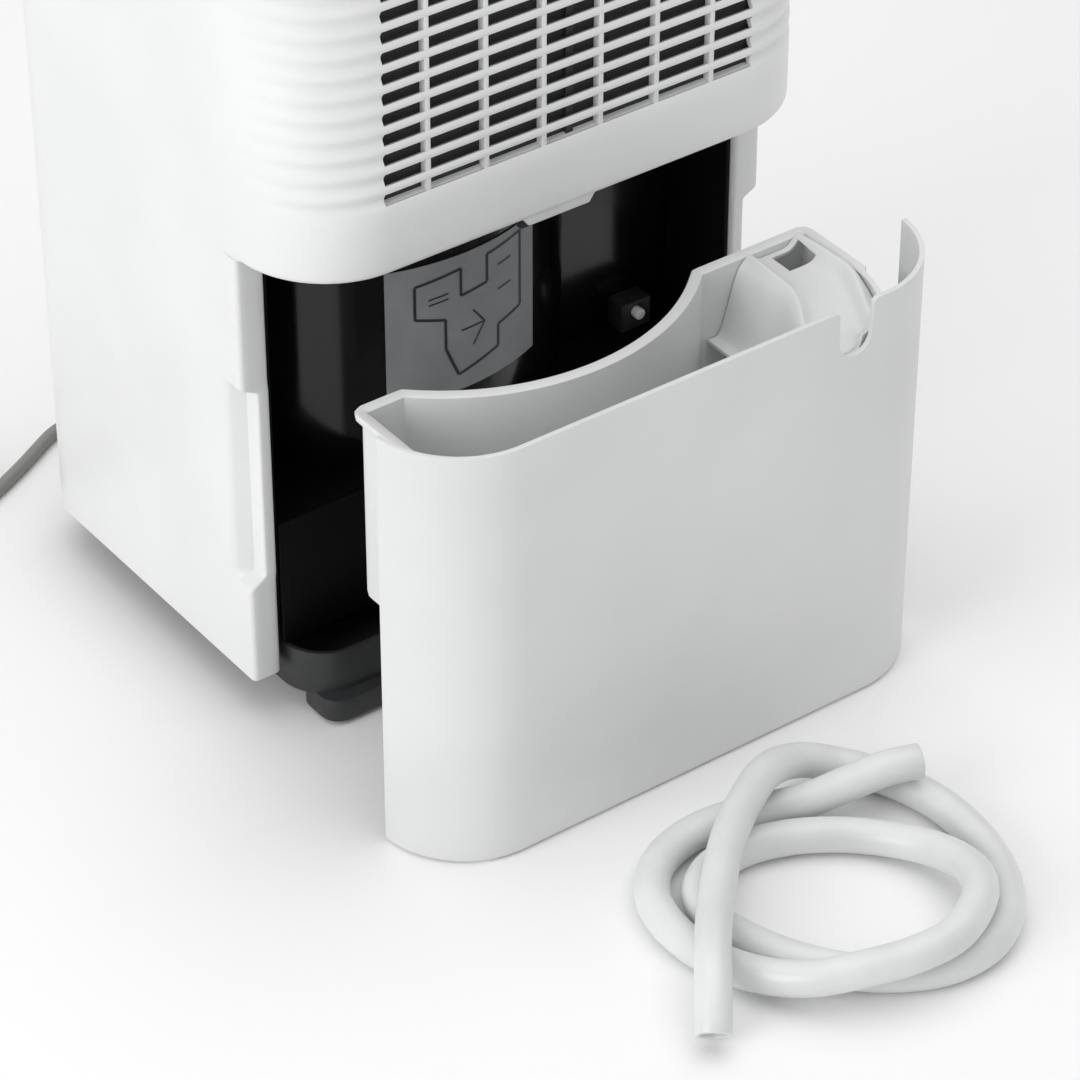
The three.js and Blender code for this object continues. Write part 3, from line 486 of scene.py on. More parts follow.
def open_tube(total, outer, bore, step=5.0, lip=0.6):
    """Stations of a tube whose ends are open: up the bore, round the lip, along the outside, and back."""
    end = [(BORE_DEPTH, 0.05), (BORE_DEPTH, bore), (lip, bore), (0, bore + lip), (0, outer - lip),
           (lip * 0.3, outer - lip * 0.3), (lip, outer)]
    middle = [(s, outer) for s in np.arange(step, total - step, step)]
    return end + middle + [(total - s, r) for s, r in reversed(end)]


hose_path = spline(HOSE_ROUTE, 4.0)
hose_length = length_of(hose_path)
hose = swept("drain_hose_tube", hose_path, open_tube(hose_length, HOSE_DIAMETER / 2, HOSE_BORE / 2), 24)
place(hose, "hose", "hose_clear", hose_plastic, "drain_hose")
print("hose length", round(hose_length), "mm")

# %% [markdown]
# The mains cord leaves the back low down through a tapered strain relief, falls to the floor, runs out to
# the left past the machine, and its spare length is wound into a neat flat coil behind it. In a wound
# coil each turn keeps its radius and steps sideways by one diameter in a short arc. Here the lower layer
# winds inwards, climbs, and the upper layer winds outwards.

# %% mains cord
CORD_DIAMETER = 7.0
CORD_ROUTE = [
    (-70, 199, 34), (-70, 203, 33.9), (-70.4, 210, 31.2), (-71.6, 217, 25.5), (-74, 224, 18.4),
    (-77.3, 230.5, 11.6), (-82.4, 236, 6.6), (-89, 239.8, 4.1), (-97, 240.5, 3.6), (-107, 237.5, 3.6),
    (-118, 231.5, 3.6), (-130, 224.5, 3.6), (-143, 217.5, 3.6), (-157, 210.5, 3.6), (-172, 204, 3.6),
    (-188, 199.5, 3.6)]
COIL_CENTRE = (-205.0, 242.5)
COIL_RADII = (44.5, 37.5, 30.5)
COIL_LOW = 3.6
COIL_END = 5.25
TAIL_ROUTE = [(-249.5, 252, 10.5), (-249.5, 262, 10), (-249.5, 275.7, 9.6)]
STEP_ARC = 1 / 6


def coil_turns():
    """Points on the coil, 36 to a turn. The lower layer steps inwards in the last sixth of each turn, and
    climbs there after its third turn. The upper layer steps outwards in the sixth before that."""
    t = np.arange(0, COIL_END + 1e-6, 1 / 36)
    angle = -np.pi / 2 - 2 * np.pi * t
    last = np.clip((t % 1 - (1 - STEP_ARC)) / STEP_ARC, 0, 1)
    before = np.clip((t % 1 - (1 - 2 * STEP_ARC)) / STEP_ARC, 0, 1)
    smooth = [v * v * (3 - 2 * v) for v in (last, before)]
    whole = np.floor(t + 1e-9)
    inwards = COIL_RADII[0] - CORD_DIAMETER * np.minimum(whole + smooth[0], 2)
    outwards = COIL_RADII[2] + CORD_DIAMETER * np.clip(whole - 3 + smooth[1], 0, 2)
    lower = t < 3
    climb = np.where(whole == 2, np.sqrt(np.clip(2 * last - last ** 2, 0, 1)), np.where(lower, 0, 1))
    radius = np.where(lower, inwards, outwards)
    return np.stack([COIL_CENTRE[0] + radius * np.cos(angle), COIL_CENTRE[1] + radius * np.sin(angle),
                     COIL_LOW + CORD_DIAMETER * climb], -1)


cord_path = spline(np.concatenate([CORD_ROUTE, coil_turns()[::2], TAIL_ROUTE]), 3.0)
cord_length = length_of(cord_path)
cord_stations = [(0, 0.05), (0, CORD_DIAMETER / 2 - 0.3), (0.4, CORD_DIAMETER / 2)]
cord_stations += [(s, CORD_DIAMETER / 2) for s in np.arange(3, cord_length - 1, 3.5)]
cord_stations += [(cord_length, CORD_DIAMETER / 2), (cord_length, 0.05)]
cord = swept("mains_cord_sheath", cord_path, cord_stations, 12)
place(cord, "cabinet", "cord_grey", cord_sheath, "mains_cord", "cord_coil", "cord_tail")
print("cord length", round(cord_length), "mm")

# %% [markdown]
# The casing and the bucket are walls that follow an outline. An outline is a chain of corners with their
# radii, and a wall carries it upwards. Where the wall has to lean in, as round an edge, each row of
# points is moved in along the outline's normals.

# %% outlines and walls


def box_mm(node):
    """A CAD node's lowest and highest corners, in millimetres."""
    return [np.array(corner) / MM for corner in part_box(node)]


def outline(corners, straight=12.0, bend=3.0, closed=False):
    """Points along straight lines joined by arcs. A corner is (x, y, radius); the arc touches both lines."""
    corners = [np.array(c, float) for c in corners]
    count = len(corners)
    pieces = []
    for i, (x, y, radius) in enumerate(corners):
        here = np.array((x, y))
        if radius == 0 or (not closed and i in (0, count - 1)):
            pieces.append(here[None])
            continue
        before = corners[i - 1][:2] - here
        after = corners[(i + 1) % count][:2] - here
        before, after = before / np.linalg.norm(before), after / np.linalg.norm(after)
        half = math.acos(np.clip(before @ after, -1, 1)) / 2
        touch = radius / math.tan(half)
        middle = here + (before + after) / np.linalg.norm(before + after) * radius / math.sin(half)
        start, end = here + before * touch - middle, here + after * touch - middle
        sweep = math.atan2(start[0] * end[1] - start[1] * end[0], start @ end)
        turns = np.linspace(0, sweep, max(3, int(abs(sweep) * radius / bend) + 1))
        c, s = np.cos(turns), np.sin(turns)
        pieces.append(middle + np.stack([c * start[0] - s * start[1], s * start[0] + c * start[1]], -1))
    if closed:
        pieces.append(pieces[0][:1])
    points = [pieces[0]]
    for piece in pieces[1:]:
        gap = piece[0] - points[-1][-1]
        steps = max(1, int(np.linalg.norm(gap) / straight))
        fill = points[-1][-1] + gap * (np.arange(1, steps) / steps)[:, None]
        points += [fill, piece]
    points = np.concatenate(points)
    keep = np.concatenate([[True], np.linalg.norm(np.diff(points, axis=0), axis=1) > 0.02])
    return points[keep][:-1] if closed else points[keep]


def normals_of(path, closed=False):
    """Unit vectors to the right of an outline's direction, which is outwards on one that runs
    anticlockwise seen from above."""
    if closed:
        step = np.roll(path, -1, axis=0) - np.roll(path, 1, axis=0)
    else:
        step = np.gradient(path, axis=0)
    step /= np.linalg.norm(step, axis=1)[:, None]
    return np.stack([step[:, 1], -step[:, 0]], -1)


def wall(path, rows, closed=False):
    """A wall over an outline. A row is (inset, height); either may be an array over the outline."""
    normal = normals_of(path, closed)
    inset = np.stack([np.broadcast_to(np.asarray(r[0], float), len(path)) for r in rows])
    height = np.stack([np.broadcast_to(np.asarray(r[1], float), len(path)) for r in rows])
    flat = path[None] - normal[None] * inset[..., None]
    return np.concatenate([flat, height[..., None]], -1)


def smooth_step(x, start, end):
    """Nought before start, one after end, and a smooth change between."""
    t = np.clip((x - start) / (end - start), 0, 1)
    return t * t * (3 - 2 * t)


def in_mm(points):
    return np.asarray(points) * MM


print("outline helpers ready")

# %% [markdown]
# The casing's front panel is a run of slats. Between them are slots, and from the ends of the slots the
# grooves go on round both corners and fade out on the sides. So the panel is one sheet: a groove is a
# bell-shaped dent along each slot's height, times a fade along the outline. Faces inside the slots are
# left out, and the sheet then gets its wall.

# %% casing: front panel, corners and sides above the bay
shell_low, shell_high = box_mm("cabinet_shell")
HALF, BACK_Y, PANEL_Y = shell_high[0], shell_high[1], shell_low[1]
CASE_BOTTOM, SEAM_Z = shell_low[2], shell_high[2]
BAY_TOP = 264.0
FRAME_Y = PANEL_Y + 51.0
WALL = 2.5
FRONT_RADIUS, REAR_RADIUS = 50.0, 30.0
REAR_HALF = box_mm("rear_cover")[1][0] + 0.3
REAR_TOP = box_mm("rear_cover")[1][2] + 0.3
SLOT_PITCH, SLOT_HEIGHT, SLOT_COUNT, SLOT_HALF, SLOT_START = 10.2, 6.0, 13, 102.0, 36.4
slot_centres = BAY_TOP + SLOT_START + SLOT_HEIGHT / 2 + SLOT_PITCH * np.arange(SLOT_COUNT)
GROOVE_DEPTH, GROOVE_SPREAD = 2.2, 2.6
LIP_RADIUS = 4.0


def case_outline():
    """Rear left, left side, front and right side, with a point exactly at each end of the slots."""
    path = outline([(-REAR_HALF, BACK_Y, 0), (-HALF, BACK_Y, REAR_RADIUS), (-HALF, PANEL_Y, FRONT_RADIUS),
                    (HALF, PANEL_Y, FRONT_RADIUS), (HALF, BACK_Y, REAR_RADIUS), (REAR_HALF, BACK_Y, 0)],
                   straight=10.0, bend=2.6)
    drop = FRONT_RADIUS - math.sqrt(FRONT_RADIUS ** 2 - (SLOT_HALF - HALF + FRONT_RADIUS) ** 2)
    ends = np.array([(-SLOT_HALF, PANEL_Y + drop), (SLOT_HALF, PANEL_Y + drop)])
    for end in ends:
        at = np.argmin(np.linalg.norm(path - end, axis=1))
        path[at] = end
    return path


def slot_rows():
    """Heights of the rows: ten to each slot and slat, with one exactly at each slot's edges."""
    half = SLOT_HEIGHT / 2
    offsets = np.array([-half - 1.4, -half - 0.6, -half, -2.0, -1.0, 0, 1.0, 2.0, half, half + 0.6,
                        half + 1.4,
                        SLOT_PITCH / 2])
    return (slot_centres[:, None] + offsets).ravel()


def groove(z):
    """How deep the dent is at a height: bells, one to each slot, joined."""
    return np.exp(-((z[:, None] - slot_centres) / GROOVE_SPREAD) ** 2).sum(1) * GROOVE_DEPTH


def casing_upper():
    """The sheet above the bay: inset is the groove times its fade round the corners, and in front the
    lowest rows curve under to make the panel's rounded lip."""
    path = case_outline()
    rim = BAY_TOP + LIP_RADIUS * (1 - np.cos(np.linspace(0, np.pi / 2, 7)))
    z = np.concatenate([rim, np.arange(BAY_TOP + 12, slot_centres[0] - 7, 8.0), slot_rows(),
                        [slot_centres[-1] + 7.5, SEAM_Z]])
    z = np.unique(np.round(z, 4))
    round_corner = np.clip(np.abs(path[:, 0]) - SLOT_HALF, 0, None)
    back = path[:, 1] - (PANEL_Y + FRONT_RADIUS)
    fade = (1 - smooth_step(round_corner, 18, 46)) * 0.75 + 0.25
    fade = fade * (1 - smooth_step(back, -26, 14))
    fade = np.where(np.abs(path[:, 0]) <= SLOT_HALF + 0.01, 1.0, fade)
    front = 1 - smooth_step(path[:, 1], FRAME_Y - 3, FRAME_Y)
    below = np.clip(LIP_RADIUS - (z - BAY_TOP), 0, None)
    under = LIP_RADIUS - np.sqrt(np.clip(LIP_RADIUS ** 2 - below ** 2, 0, None))
    rows = [(d * fade + u * front, h) for d, u, h in zip(groove(z), under, z)]
    points = wall(path, rows)
    faces = grid_faces(len(z), len(path))
    middle = points.reshape(-1, 3)[faces].mean(1)
    near = np.abs(middle[:, 2][:, None] - slot_centres).min(1) < SLOT_HEIGHT / 2
    in_slot = near & (np.abs(middle[:, 0]) < SLOT_HALF) & (middle[:, 1] < PANEL_Y + 8)
    lip_path = path[path[:, 1] < FRAME_Y]
    lip = wall(lip_path, [(LIP_RADIUS + 7, BAY_TOP), (LIP_RADIUS, BAY_TOP)])
    return (in_mm(points), faces[~in_slot]), (in_mm(lip), grid_faces(2, len(lip_path)))


print("slots", SLOT_COUNT, "from", slot_centres[0], "to", slot_centres[-1])

# %% [markdown]
# Below the front panel the casing has only its sides and back. Each side turns in along a frame strip
# beside the bay. The strips hold a finger scoop: the corner of side and strip is pushed in, with a round
# top and a sloping foot, so that fingers reach behind the seated bucket.

# %% casing: sides, frame strips and scoops
STRIP_INNER = 134.5
SCOOP_LOW, SCOOP_HIGH, SCOOP_DEEP, SCOOP_IN = 78.0, 193.0, 14.0, 8.5
EDGE_ROUND = 2.5
UNDER_INSET = 9.5


def casing_side(side):
    """One side below the bay's top. Points of the strip slide towards its inner edge, and points of the
    side move in, by the scoop's depth times how far into the scoop's height and depth they are."""
    path = outline([(-REAR_HALF, BACK_Y, 0), (-HALF, BACK_Y, REAR_RADIUS), (-HALF, FRAME_Y, EDGE_ROUND),
                    (-STRIP_INNER, FRAME_Y, EDGE_ROUND), (-STRIP_INNER, FRAME_Y + 16, 0)],
                   straight=3.2, bend=1.2)
    z = np.unique(np.round(np.concatenate([
        [CASE_BOTTOM, CASE_BOTTOM + 20, CASE_BOTTOM + 40], SCOOP_LOW + np.linspace(-3, 12, 14),
        np.arange(110, 170, 15.0), SCOOP_HIGH + np.linspace(-16, 5, 15), [SCOOP_HIGH + 20, BAY_TOP]]), 3))
    tall = smooth_step(z, SCOOP_LOW, SCOOP_LOW + 7) * (1 - smooth_step(z, SCOOP_HIGH - 5, SCOOP_HIGH))
    points = wall(path, [(0.0, h) for h in z])
    x, y = points[..., 0].copy(), points[..., 1]
    deep = 1 - smooth_step(y, FRAME_Y + SCOOP_DEEP - 5, FRAME_Y + SCOOP_DEEP)
    push = SCOOP_IN * tall[:, None] * deep
    on_side = np.clip((-STRIP_INNER - x) / (HALF - STRIP_INNER), 0, 1)
    points[..., 0] = x + push * on_side
    points[..., 0] *= -side
    faces = grid_faces(len(z), len(path))
    return in_mm(points), faces if side < 0 else faces[:, ::-1]


def underside():
    """The white underside of the front panel, a flat grid with a slit for the filter."""
    low, high = box_mm("air_filter")
    slit_x = high[0] + 1
    x = np.array([-HALF + 6, -slit_x, -50, 0, 50, slit_x, HALF - 6])
    y = np.array([PANEL_Y + UNDER_INSET, low[1] - 0.5, high[1] + 0.5, (PANEL_Y + FRAME_Y) / 2,
                  FRAME_Y + WALL])
    points = np.stack([*np.meshgrid(x, y), np.full((len(y), len(x)), BAY_TOP)], -1)
    radius = FRONT_RADIUS - UNDER_INSET
    from_line = (radius - (points[..., 1] - PANEL_Y - UNDER_INSET)) / radius
    corner = 1 - np.sqrt(np.clip(1 - from_line ** 2, 0, 1))
    reach = HALF - UNDER_INSET - radius * np.clip(corner, 0, 1)
    points[..., 0] = np.clip(points[..., 0], -reach, reach)
    faces = grid_faces(len(y), len(x))[:, ::-1]
    middle = points.reshape(-1, 3)[faces].mean(1)
    slit = (np.abs(middle[:, 0]) < slit_x) & (middle[:, 1] > low[1] - 0.5) & (middle[:, 1] < high[1] + 0.5)
    return in_mm(points), faces[~slit]


def casing_rear_rail():
    """The rail over the rear cover's opening, in the plane of the back."""
    x = np.linspace(REAR_HALF, -REAR_HALF, 13)
    z = np.array([REAR_TOP, SEAM_Z])
    points = np.stack(np.meshgrid(x, z), -1)
    points = np.stack([points[..., 0], np.full(points.shape[:2], BACK_Y), points[..., 1]], -1)
    return in_mm(points), grid_faces(2, len(x))


casing = make_mesh("casing", [*casing_upper(), casing_side(-1), casing_side(1), underside(),
                              casing_rear_rail()])
thicken(casing, WALL * MM)
settle(casing, 38)
place(casing, "cabinet", "white_abs", white, "cabinet_shell")
print("casing faces", len(casing.data.polygons))

# %% [markdown]
# Six upright ribs tie the slats together. They stand a little behind the slats' faces, so between two
# slats one sees a rib's narrow front and its deep flank. A sloping ledge closes the grille at its foot.

# %% ribs and ledge of the grille
RIB_PITCH, RIB_WIDTH, RIB_COUNT, RIB_DEEP = 31.5, 2.6, 6, 9.0


def brick(low, high):
    """The eight corners and six faces of a block."""
    corners = [(x, y, z) for x in (low[0], high[0]) for y in (low[1], high[1]) for z in (low[2], high[2])]
    faces = [[0, 1, 3, 2], [4, 6, 7, 5], [0, 4, 5, 1], [2, 3, 7, 6], [0, 2, 6, 4], [1, 5, 7, 3]]
    return in_mm(corners), faces


def grille_ribs():
    low, high = slot_centres[0] - SLOT_HEIGHT / 2 - 2, slot_centres[-1] + SLOT_HEIGHT / 2 + 2
    for i in range(RIB_COUNT):
        x = (i - (RIB_COUNT - 1) / 2) * RIB_PITCH
        yield brick((x - RIB_WIDTH / 2, PANEL_Y + 0.7, low), (x + RIB_WIDTH / 2, PANEL_Y + RIB_DEEP, high))


def grille_ledge():
    """A thin sloping shelf behind the lowest slot, rising to the back."""
    x = np.linspace(-SLOT_HALF, SLOT_HALF, 25)
    line = np.array([(PANEL_Y + 2.6, -3.2), (PANEL_Y + 4.5, -2.7), (PANEL_Y + 8.0, -0.6),
                     (PANEL_Y + 8.6, -0.8),
                     (PANEL_Y + 8.6, -4.2), (PANEL_Y + 2.6, -4.2)])
    y, z = np.broadcast_to(line[:, :1], (6, 25)), np.broadcast_to(slot_centres[0] + line[:, 1:], (6, 25))
    faces = [list(f) for f in grid_faces(6, 25, close_rows=True)]
    faces += [[r * 25 for r in range(6)], [r * 25 + 24 for r in range(6)][::-1]]
    return in_mm(np.stack([np.broadcast_to(x, (6, 25)), y, z], -1)), faces


ribs = make_mesh("grille_ribs", [*grille_ribs(), grille_ledge()])
soften(outward(ribs), 0.35 * MM, 2, 40)
settle(ribs, 35)
place(ribs, "cabinet", "white_abs", white)
print("ribs", RIB_COUNT)


def filter_lip():
    """The white finger lip of the air filter: a bar under the panel with sloping ends."""
    low, high = box_mm("air_filter")
    x0, x1, slope = -27.0, 15.0, 4.0
    profile = [(x0, BAY_TOP + 1), (x0 + slope, low[2] + 0.6), (x1 - slope, low[2] + 0.6), (x1, BAY_TOP + 1)]
    points = [(x, y, z) for y in (PANEL_Y + 2.2, high[1]) for x, z in profile]
    return in_mm(points), [[0, 1, 2, 3], [7, 6, 5, 4], [0, 4, 5, 1], [1, 5, 6, 2], [2, 6, 7, 3], [3, 7, 4, 0]]


lip = make_mesh("filter_finger_lip", [filter_lip()])
soften(outward(lip), 0.8 * MM, 3, 30)
settle(lip, 40)
place(lip, "filter", "white_abs", white)

# %% [markdown]
# The bucket's white front is a deep skirt that bends round both corners. Its top rim is even except for a
# U-shaped notch at the right, where water is poured out. The notch is made by letting the top rows dip:
# the height of the rim is a function of the place along the outline.

# %% bucket front
front_low, front_high = box_mm("bucket_front")
BUCKET_Y, BUCKET_TOP, BUCKET_END = front_low[1], front_high[2], front_high[1]
BUCKET_RADIUS, BUCKET_WALL = 48.0, 2.4
NOTCH_X, NOTCH_HALF, NOTCH_DEEP, NOTCH_LIP = 84.5, 9.5, 27.0, 3.5
BUCKET_OUT, PAN_FRONT, PAN_CLEAR = 102.0, 20.0, 1.0
FLOOR_REAR = FRAME_Y - PAN_FRONT - BUCKET_OUT - PAN_CLEAR


def notch_dip(x):
    """How far the rim dips: a half round at the bottom, straight flanks, and rounded shoulders."""
    away = np.abs(x - NOTCH_X)
    bowl = NOTCH_DEEP - NOTCH_HALF + np.sqrt(np.clip(NOTCH_HALF ** 2 - away ** 2, 0, None))
    outside = np.clip(away - NOTCH_HALF, 0, NOTCH_LIP)
    shoulder = NOTCH_LIP - np.sqrt(np.clip(NOTCH_LIP ** 2 - (NOTCH_LIP - outside) ** 2, 0, None))
    shoulder = np.where(away < NOTCH_HALF + NOTCH_LIP, shoulder, 0)
    return np.where(away < NOTCH_HALF, bowl, shoulder)


def bucket_skirt():
    """The front shell's outer sheet. The lowest rows curve under to the floor."""
    beyond = BUCKET_Y + BUCKET_RADIUS + 6
    path = outline([(-HALF, beyond, 0), (-HALF, BUCKET_Y, BUCKET_RADIUS), (HALF, BUCKET_Y, BUCKET_RADIUS),
                    (HALF, beyond, 0)], straight=6.0, bend=3.0)
    path = path[path[:, 1] < BUCKET_END + 1]
    path[[0, -1], 1] = BUCKET_END
    shoulder = NOTCH_HALF + np.linspace(0.35, NOTCH_LIP, 7)
    bowl = (NOTCH_HALF - 0.1) * np.sin(np.linspace(-np.pi / 2, np.pi / 2, 25))
    near = NOTCH_X + np.concatenate([-shoulder[::-1], bowl, shoulder])
    on_arc = np.clip(near - (HALF - BUCKET_RADIUS), 0, None)
    near_y = BUCKET_Y + BUCKET_RADIUS - np.sqrt(BUCKET_RADIUS ** 2 - on_arc ** 2)
    left, right = path[path[:, 0] < near[0] - 1], path[path[:, 0] > near[-1] + 1]
    path = np.concatenate([left, np.stack([near, near_y], -1), right])
    dip = np.where(path[:, 1] < BUCKET_Y + 3, notch_dip(path[:, 0]), 0)
    round_in = 4 * (1 - np.sin(np.linspace(0, np.pi / 2, 6)))
    rise = 4 * (1 - np.cos(np.linspace(0, np.pi / 2, 6)))
    rows = list(zip(round_in, rise)) + [(0, h) for h in (20, 60, 100, 140, 180, 195)]
    rows += [(0, 200 + (BUCKET_TOP - 200 - dip) * t) for t in (0, 0.3, 0.6, 0.85, 1.0)]
    points = wall(path, rows)
    return in_mm(points), grid_faces(len(rows), len(path))


def bucket_floor():
    """The floor under the front: each row runs from side to side at one depth, as wide as the rounded
    corners allow there, and stops where the base pan will pass."""
    depth = BUCKET_RADIUS * (1 - np.cos(np.linspace(0.42, np.pi / 2, 9)))
    depth = np.concatenate([depth[BUCKET_Y + depth < FLOOR_REAR], [FLOOR_REAR - BUCKET_Y]])
    from_middle = BUCKET_RADIUS - np.minimum(depth, BUCKET_RADIUS)
    half = HALF - BUCKET_RADIUS + np.sqrt(BUCKET_RADIUS ** 2 - from_middle ** 2)
    across = np.linspace(-1, 1, 13)
    x = (half - 4)[:, None] * across
    points = np.stack([x, np.broadcast_to(BUCKET_Y + depth[:, None], x.shape), np.zeros_like(x)], -1)
    return in_mm(points), grid_faces(len(depth), len(across))[:, ::-1]


skirt = make_mesh("bucket_skirt", [bucket_skirt()])
thicken(skirt, BUCKET_WALL * MM)
soften(skirt, 0.55 * MM, 2, 60)
settle(skirt, 40)
place(skirt, "bucket", "bucket_white", bucket_white, "bucket_front")
skirt_floor = make_mesh("bucket_skirt_floor", [bucket_floor()])
thicken(skirt_floor, BUCKET_WALL * MM)
settle(skirt_floor, 40)
place(skirt_floor, "bucket", "bucket_white", bucket_white)
print("skirt faces", len(skirt.data.polygons))

# %% [markdown]
# Behind the skirt hangs the water tank. Its rear wall is hollowed by an arc so that it clears the round
# housing in the bay. Its rim turns out into a narrow flange behind the skirt. The whole tank is one
# closed run of loops: up the outside, over the flange and the rim, and down the inside to the floor.

# %% bucket tank
tank_high = box_mm("bucket_tank")[1]
TANK_HALF, TANK_REAR, TANK_RIM = tank_high[0] - 3, tank_high[1] - 3, tank_high[2]
TANK_STEP, TANK_WALL, FLANGE = 104.0, 2.2, 3.0
DOME_X, DOME_RADIUS, DOME_GAP = -20.0, 116.0, 4.0
HOLLOW_RADIUS = DOME_RADIUS + DOME_GAP
HOLLOW_Y = box_mm("compressor_housing")[0][1] + DOME_RADIUS - BUCKET_OUT
TANK_FRONT = BUCKET_Y + BUCKET_WALL + 0.4


def tank_outline():
    """Anticlockwise seen from above: from the hollow's left end round both front corners to its right
    end, and back along the hollow's arc."""
    corner = BUCKET_RADIUS - BUCKET_WALL - 0.4
    reach = math.asin((HOLLOW_Y - TANK_REAR) / HOLLOW_RADIUS)
    arc = np.linspace(-reach, reach - np.pi, 56)
    hollow = np.stack([DOME_X + HOLLOW_RADIUS * np.cos(arc), HOLLOW_Y + HOLLOW_RADIUS * np.sin(arc)], -1)
    round_front = outline([(*hollow[-1], 0), (-TANK_HALF, TANK_REAR, 2.5), (-TANK_HALF, TANK_FRONT, corner),
                           (TANK_HALF, TANK_FRONT, corner), (TANK_HALF, TANK_REAR, 2.5), (*hollow[0], 0)],
                          straight=2.5, bend=2.0)
    return np.concatenate([round_front, hollow[1:-1]])


def tank_surface():
    path = tank_outline()
    behind = smooth_step(path[:, 1], BUCKET_END + 1.2, BUCKET_END + 3.0)
    out = FLANGE * behind
    away = np.clip(1 - ((path[:, 0] - NOTCH_X) / (NOTCH_HALF + 1)) ** 2, 0, 1) * (path[:, 1] < TANK_FRONT + 1)
    rim = TANK_RIM - (TANK_RIM - BUCKET_TOP + NOTCH_DEEP + 1) * np.sqrt(away)
    rows = [(6.0, TANK_STEP), (2.0, TANK_STEP + 0.8), (0.5, TANK_STEP + 2.2), (0, TANK_STEP + 5),
            (0, 150), (0, 190), (0, rim - 5.5), (-out * 0.3, rim - 4.4), (-out, rim - 3.8),
            (-out - 0.5 * behind, rim - 3.0), (-out - 0.5 * behind, rim - 0.8), (-out, rim),
            (1.0, rim), (TANK_WALL, rim - 0.8), (TANK_WALL + 0.3, rim - 4),
            (TANK_WALL + 0.4, 170), (TANK_WALL + 0.6, 120), (TANK_WALL + 1.4, 109), (6.0, 106.2)]
    points = wall(path, rows, closed=True)
    faces = [list(f) for f in grid_faces(len(rows), len(path), close_columns=True)]
    last = (len(rows) - 1) * len(path)
    for start, row in ((0, points[0]), (last, points[-1])):
        faces += [[start + i for i in triangle] for triangle in tessellate_polygon([row.tolist()])]
    return in_mm(points), faces


tank = make_mesh("water_tank", [tank_surface()])
settle(outward(tank), 35)
print("tank faces", len(tank.data.polygons))
place(tank, "bucket", "bucket_white", bucket_white, "bucket_tank")

# %% [markdown]
# At the right the tank is covered by a pouring channel that leads to the notch. It is a height over the
# tank's right end: a flat cover, a soft valley that deepens towards the notch, a rounded ridge on either
# side of it, and a pocket at the back where the float's arm looks out.

# %% pouring channel
CHANNEL_LEFT, CHANNEL_RIGHT = 68.0, TANK_HALF - TANK_WALL - 0.9
CHANNEL_FRONT, CHANNEL_BACK = TANK_FRONT + TANK_WALL + 0.6, TANK_REAR - TANK_WALL - 0.9
POCKET = (103.0, 118.0, -105.0, -92.0)


def bell(x, centre, width):
    return np.exp(-((x - centre) / width) ** 2)


def channel_height(x, y):
    """Height of the channel: the valley's middle line bends from the pocket to the notch."""
    along = np.clip((CHANNEL_BACK - y) / (CHANNEL_BACK - CHANNEL_FRONT), 0, 1)
    middle = 106.0 + (NOTCH_X - 106.0) * smooth_step(along, 0.35, 1.0)
    floor = TANK_RIM - 4.0 - 3.2 * along ** 2
    left_ridge = 5.0 * bell(x, middle - 14.5 - 2 * along, 3.6) * (1 - 0.25 * along)
    right_ridge = 6.0 * bell(x, middle + 14.5 + 7 * along, 4.2)
    fall = -34.0 * smooth_step(middle - 17 - x, 2, 16)
    open_bowl = np.sqrt(np.clip(1 - ((x - NOTCH_X) / (NOTCH_HALF + 1)) ** 2, 0, 1))
    rim = TANK_RIM - 1.2 - (TANK_RIM - BUCKET_TOP + NOTCH_DEEP + 1) * open_bowl
    near_front = (1 - smooth_step(y, CHANNEL_FRONT, CHANNEL_FRONT + 9)) * (fall > -3)
    inside = floor + left_ridge + right_ridge + fall
    return inside * (1 - near_front) + rim * near_front


def pour_channel():
    x = np.linspace(CHANNEL_LEFT, CHANNEL_RIGHT, 62)
    y = np.linspace(CHANNEL_FRONT, CHANNEL_BACK, 84)
    grid_x, grid_y = np.meshgrid(x, y)
    corner = BUCKET_RADIUS - BUCKET_WALL - 0.4 - TANK_WALL - 0.9
    into = np.clip(corner - (grid_y - CHANNEL_FRONT), 0, corner)
    reach = CHANNEL_RIGHT - corner + np.sqrt(np.clip(corner ** 2 - into ** 2, 0, None))
    grid_x = CHANNEL_LEFT + (grid_x - CHANNEL_LEFT) * (reach - CHANNEL_LEFT) / (CHANNEL_RIGHT - CHANNEL_LEFT)
    height = channel_height(grid_x, grid_y)
    points = np.stack([grid_x, grid_y, height], -1)
    faces = grid_faces(len(y), len(x))
    middle = points.reshape(-1, 3)[faces].mean(1)
    pocket = ((middle[:, 0] > POCKET[0]) & (middle[:, 0] < POCKET[1])
              & (middle[:, 1] > POCKET[2]) & (middle[:, 1] < POCKET[3]))
    return in_mm(points), faces[~pocket]


channel = make_mesh("pour_channel", [pour_channel()])
thicken(channel, 1.8 * MM)
soften(channel, 0.5 * MM, 2, 50)
settle(channel, 50)
place(channel, "bucket", "bucket_white", bucket_white)
print("channel from", CHANNEL_LEFT, "to", CHANNEL_RIGHT)

# %% [markdown]
# The machine's insides and small mouldings are right in shape already. Such a piece is copied from its
# CAD node, its loose triangles are merged, flat faces are joined, and its edges get a small round, which
# is what catches the light on a real moulding.

# %% rounded copies of CAD nodes


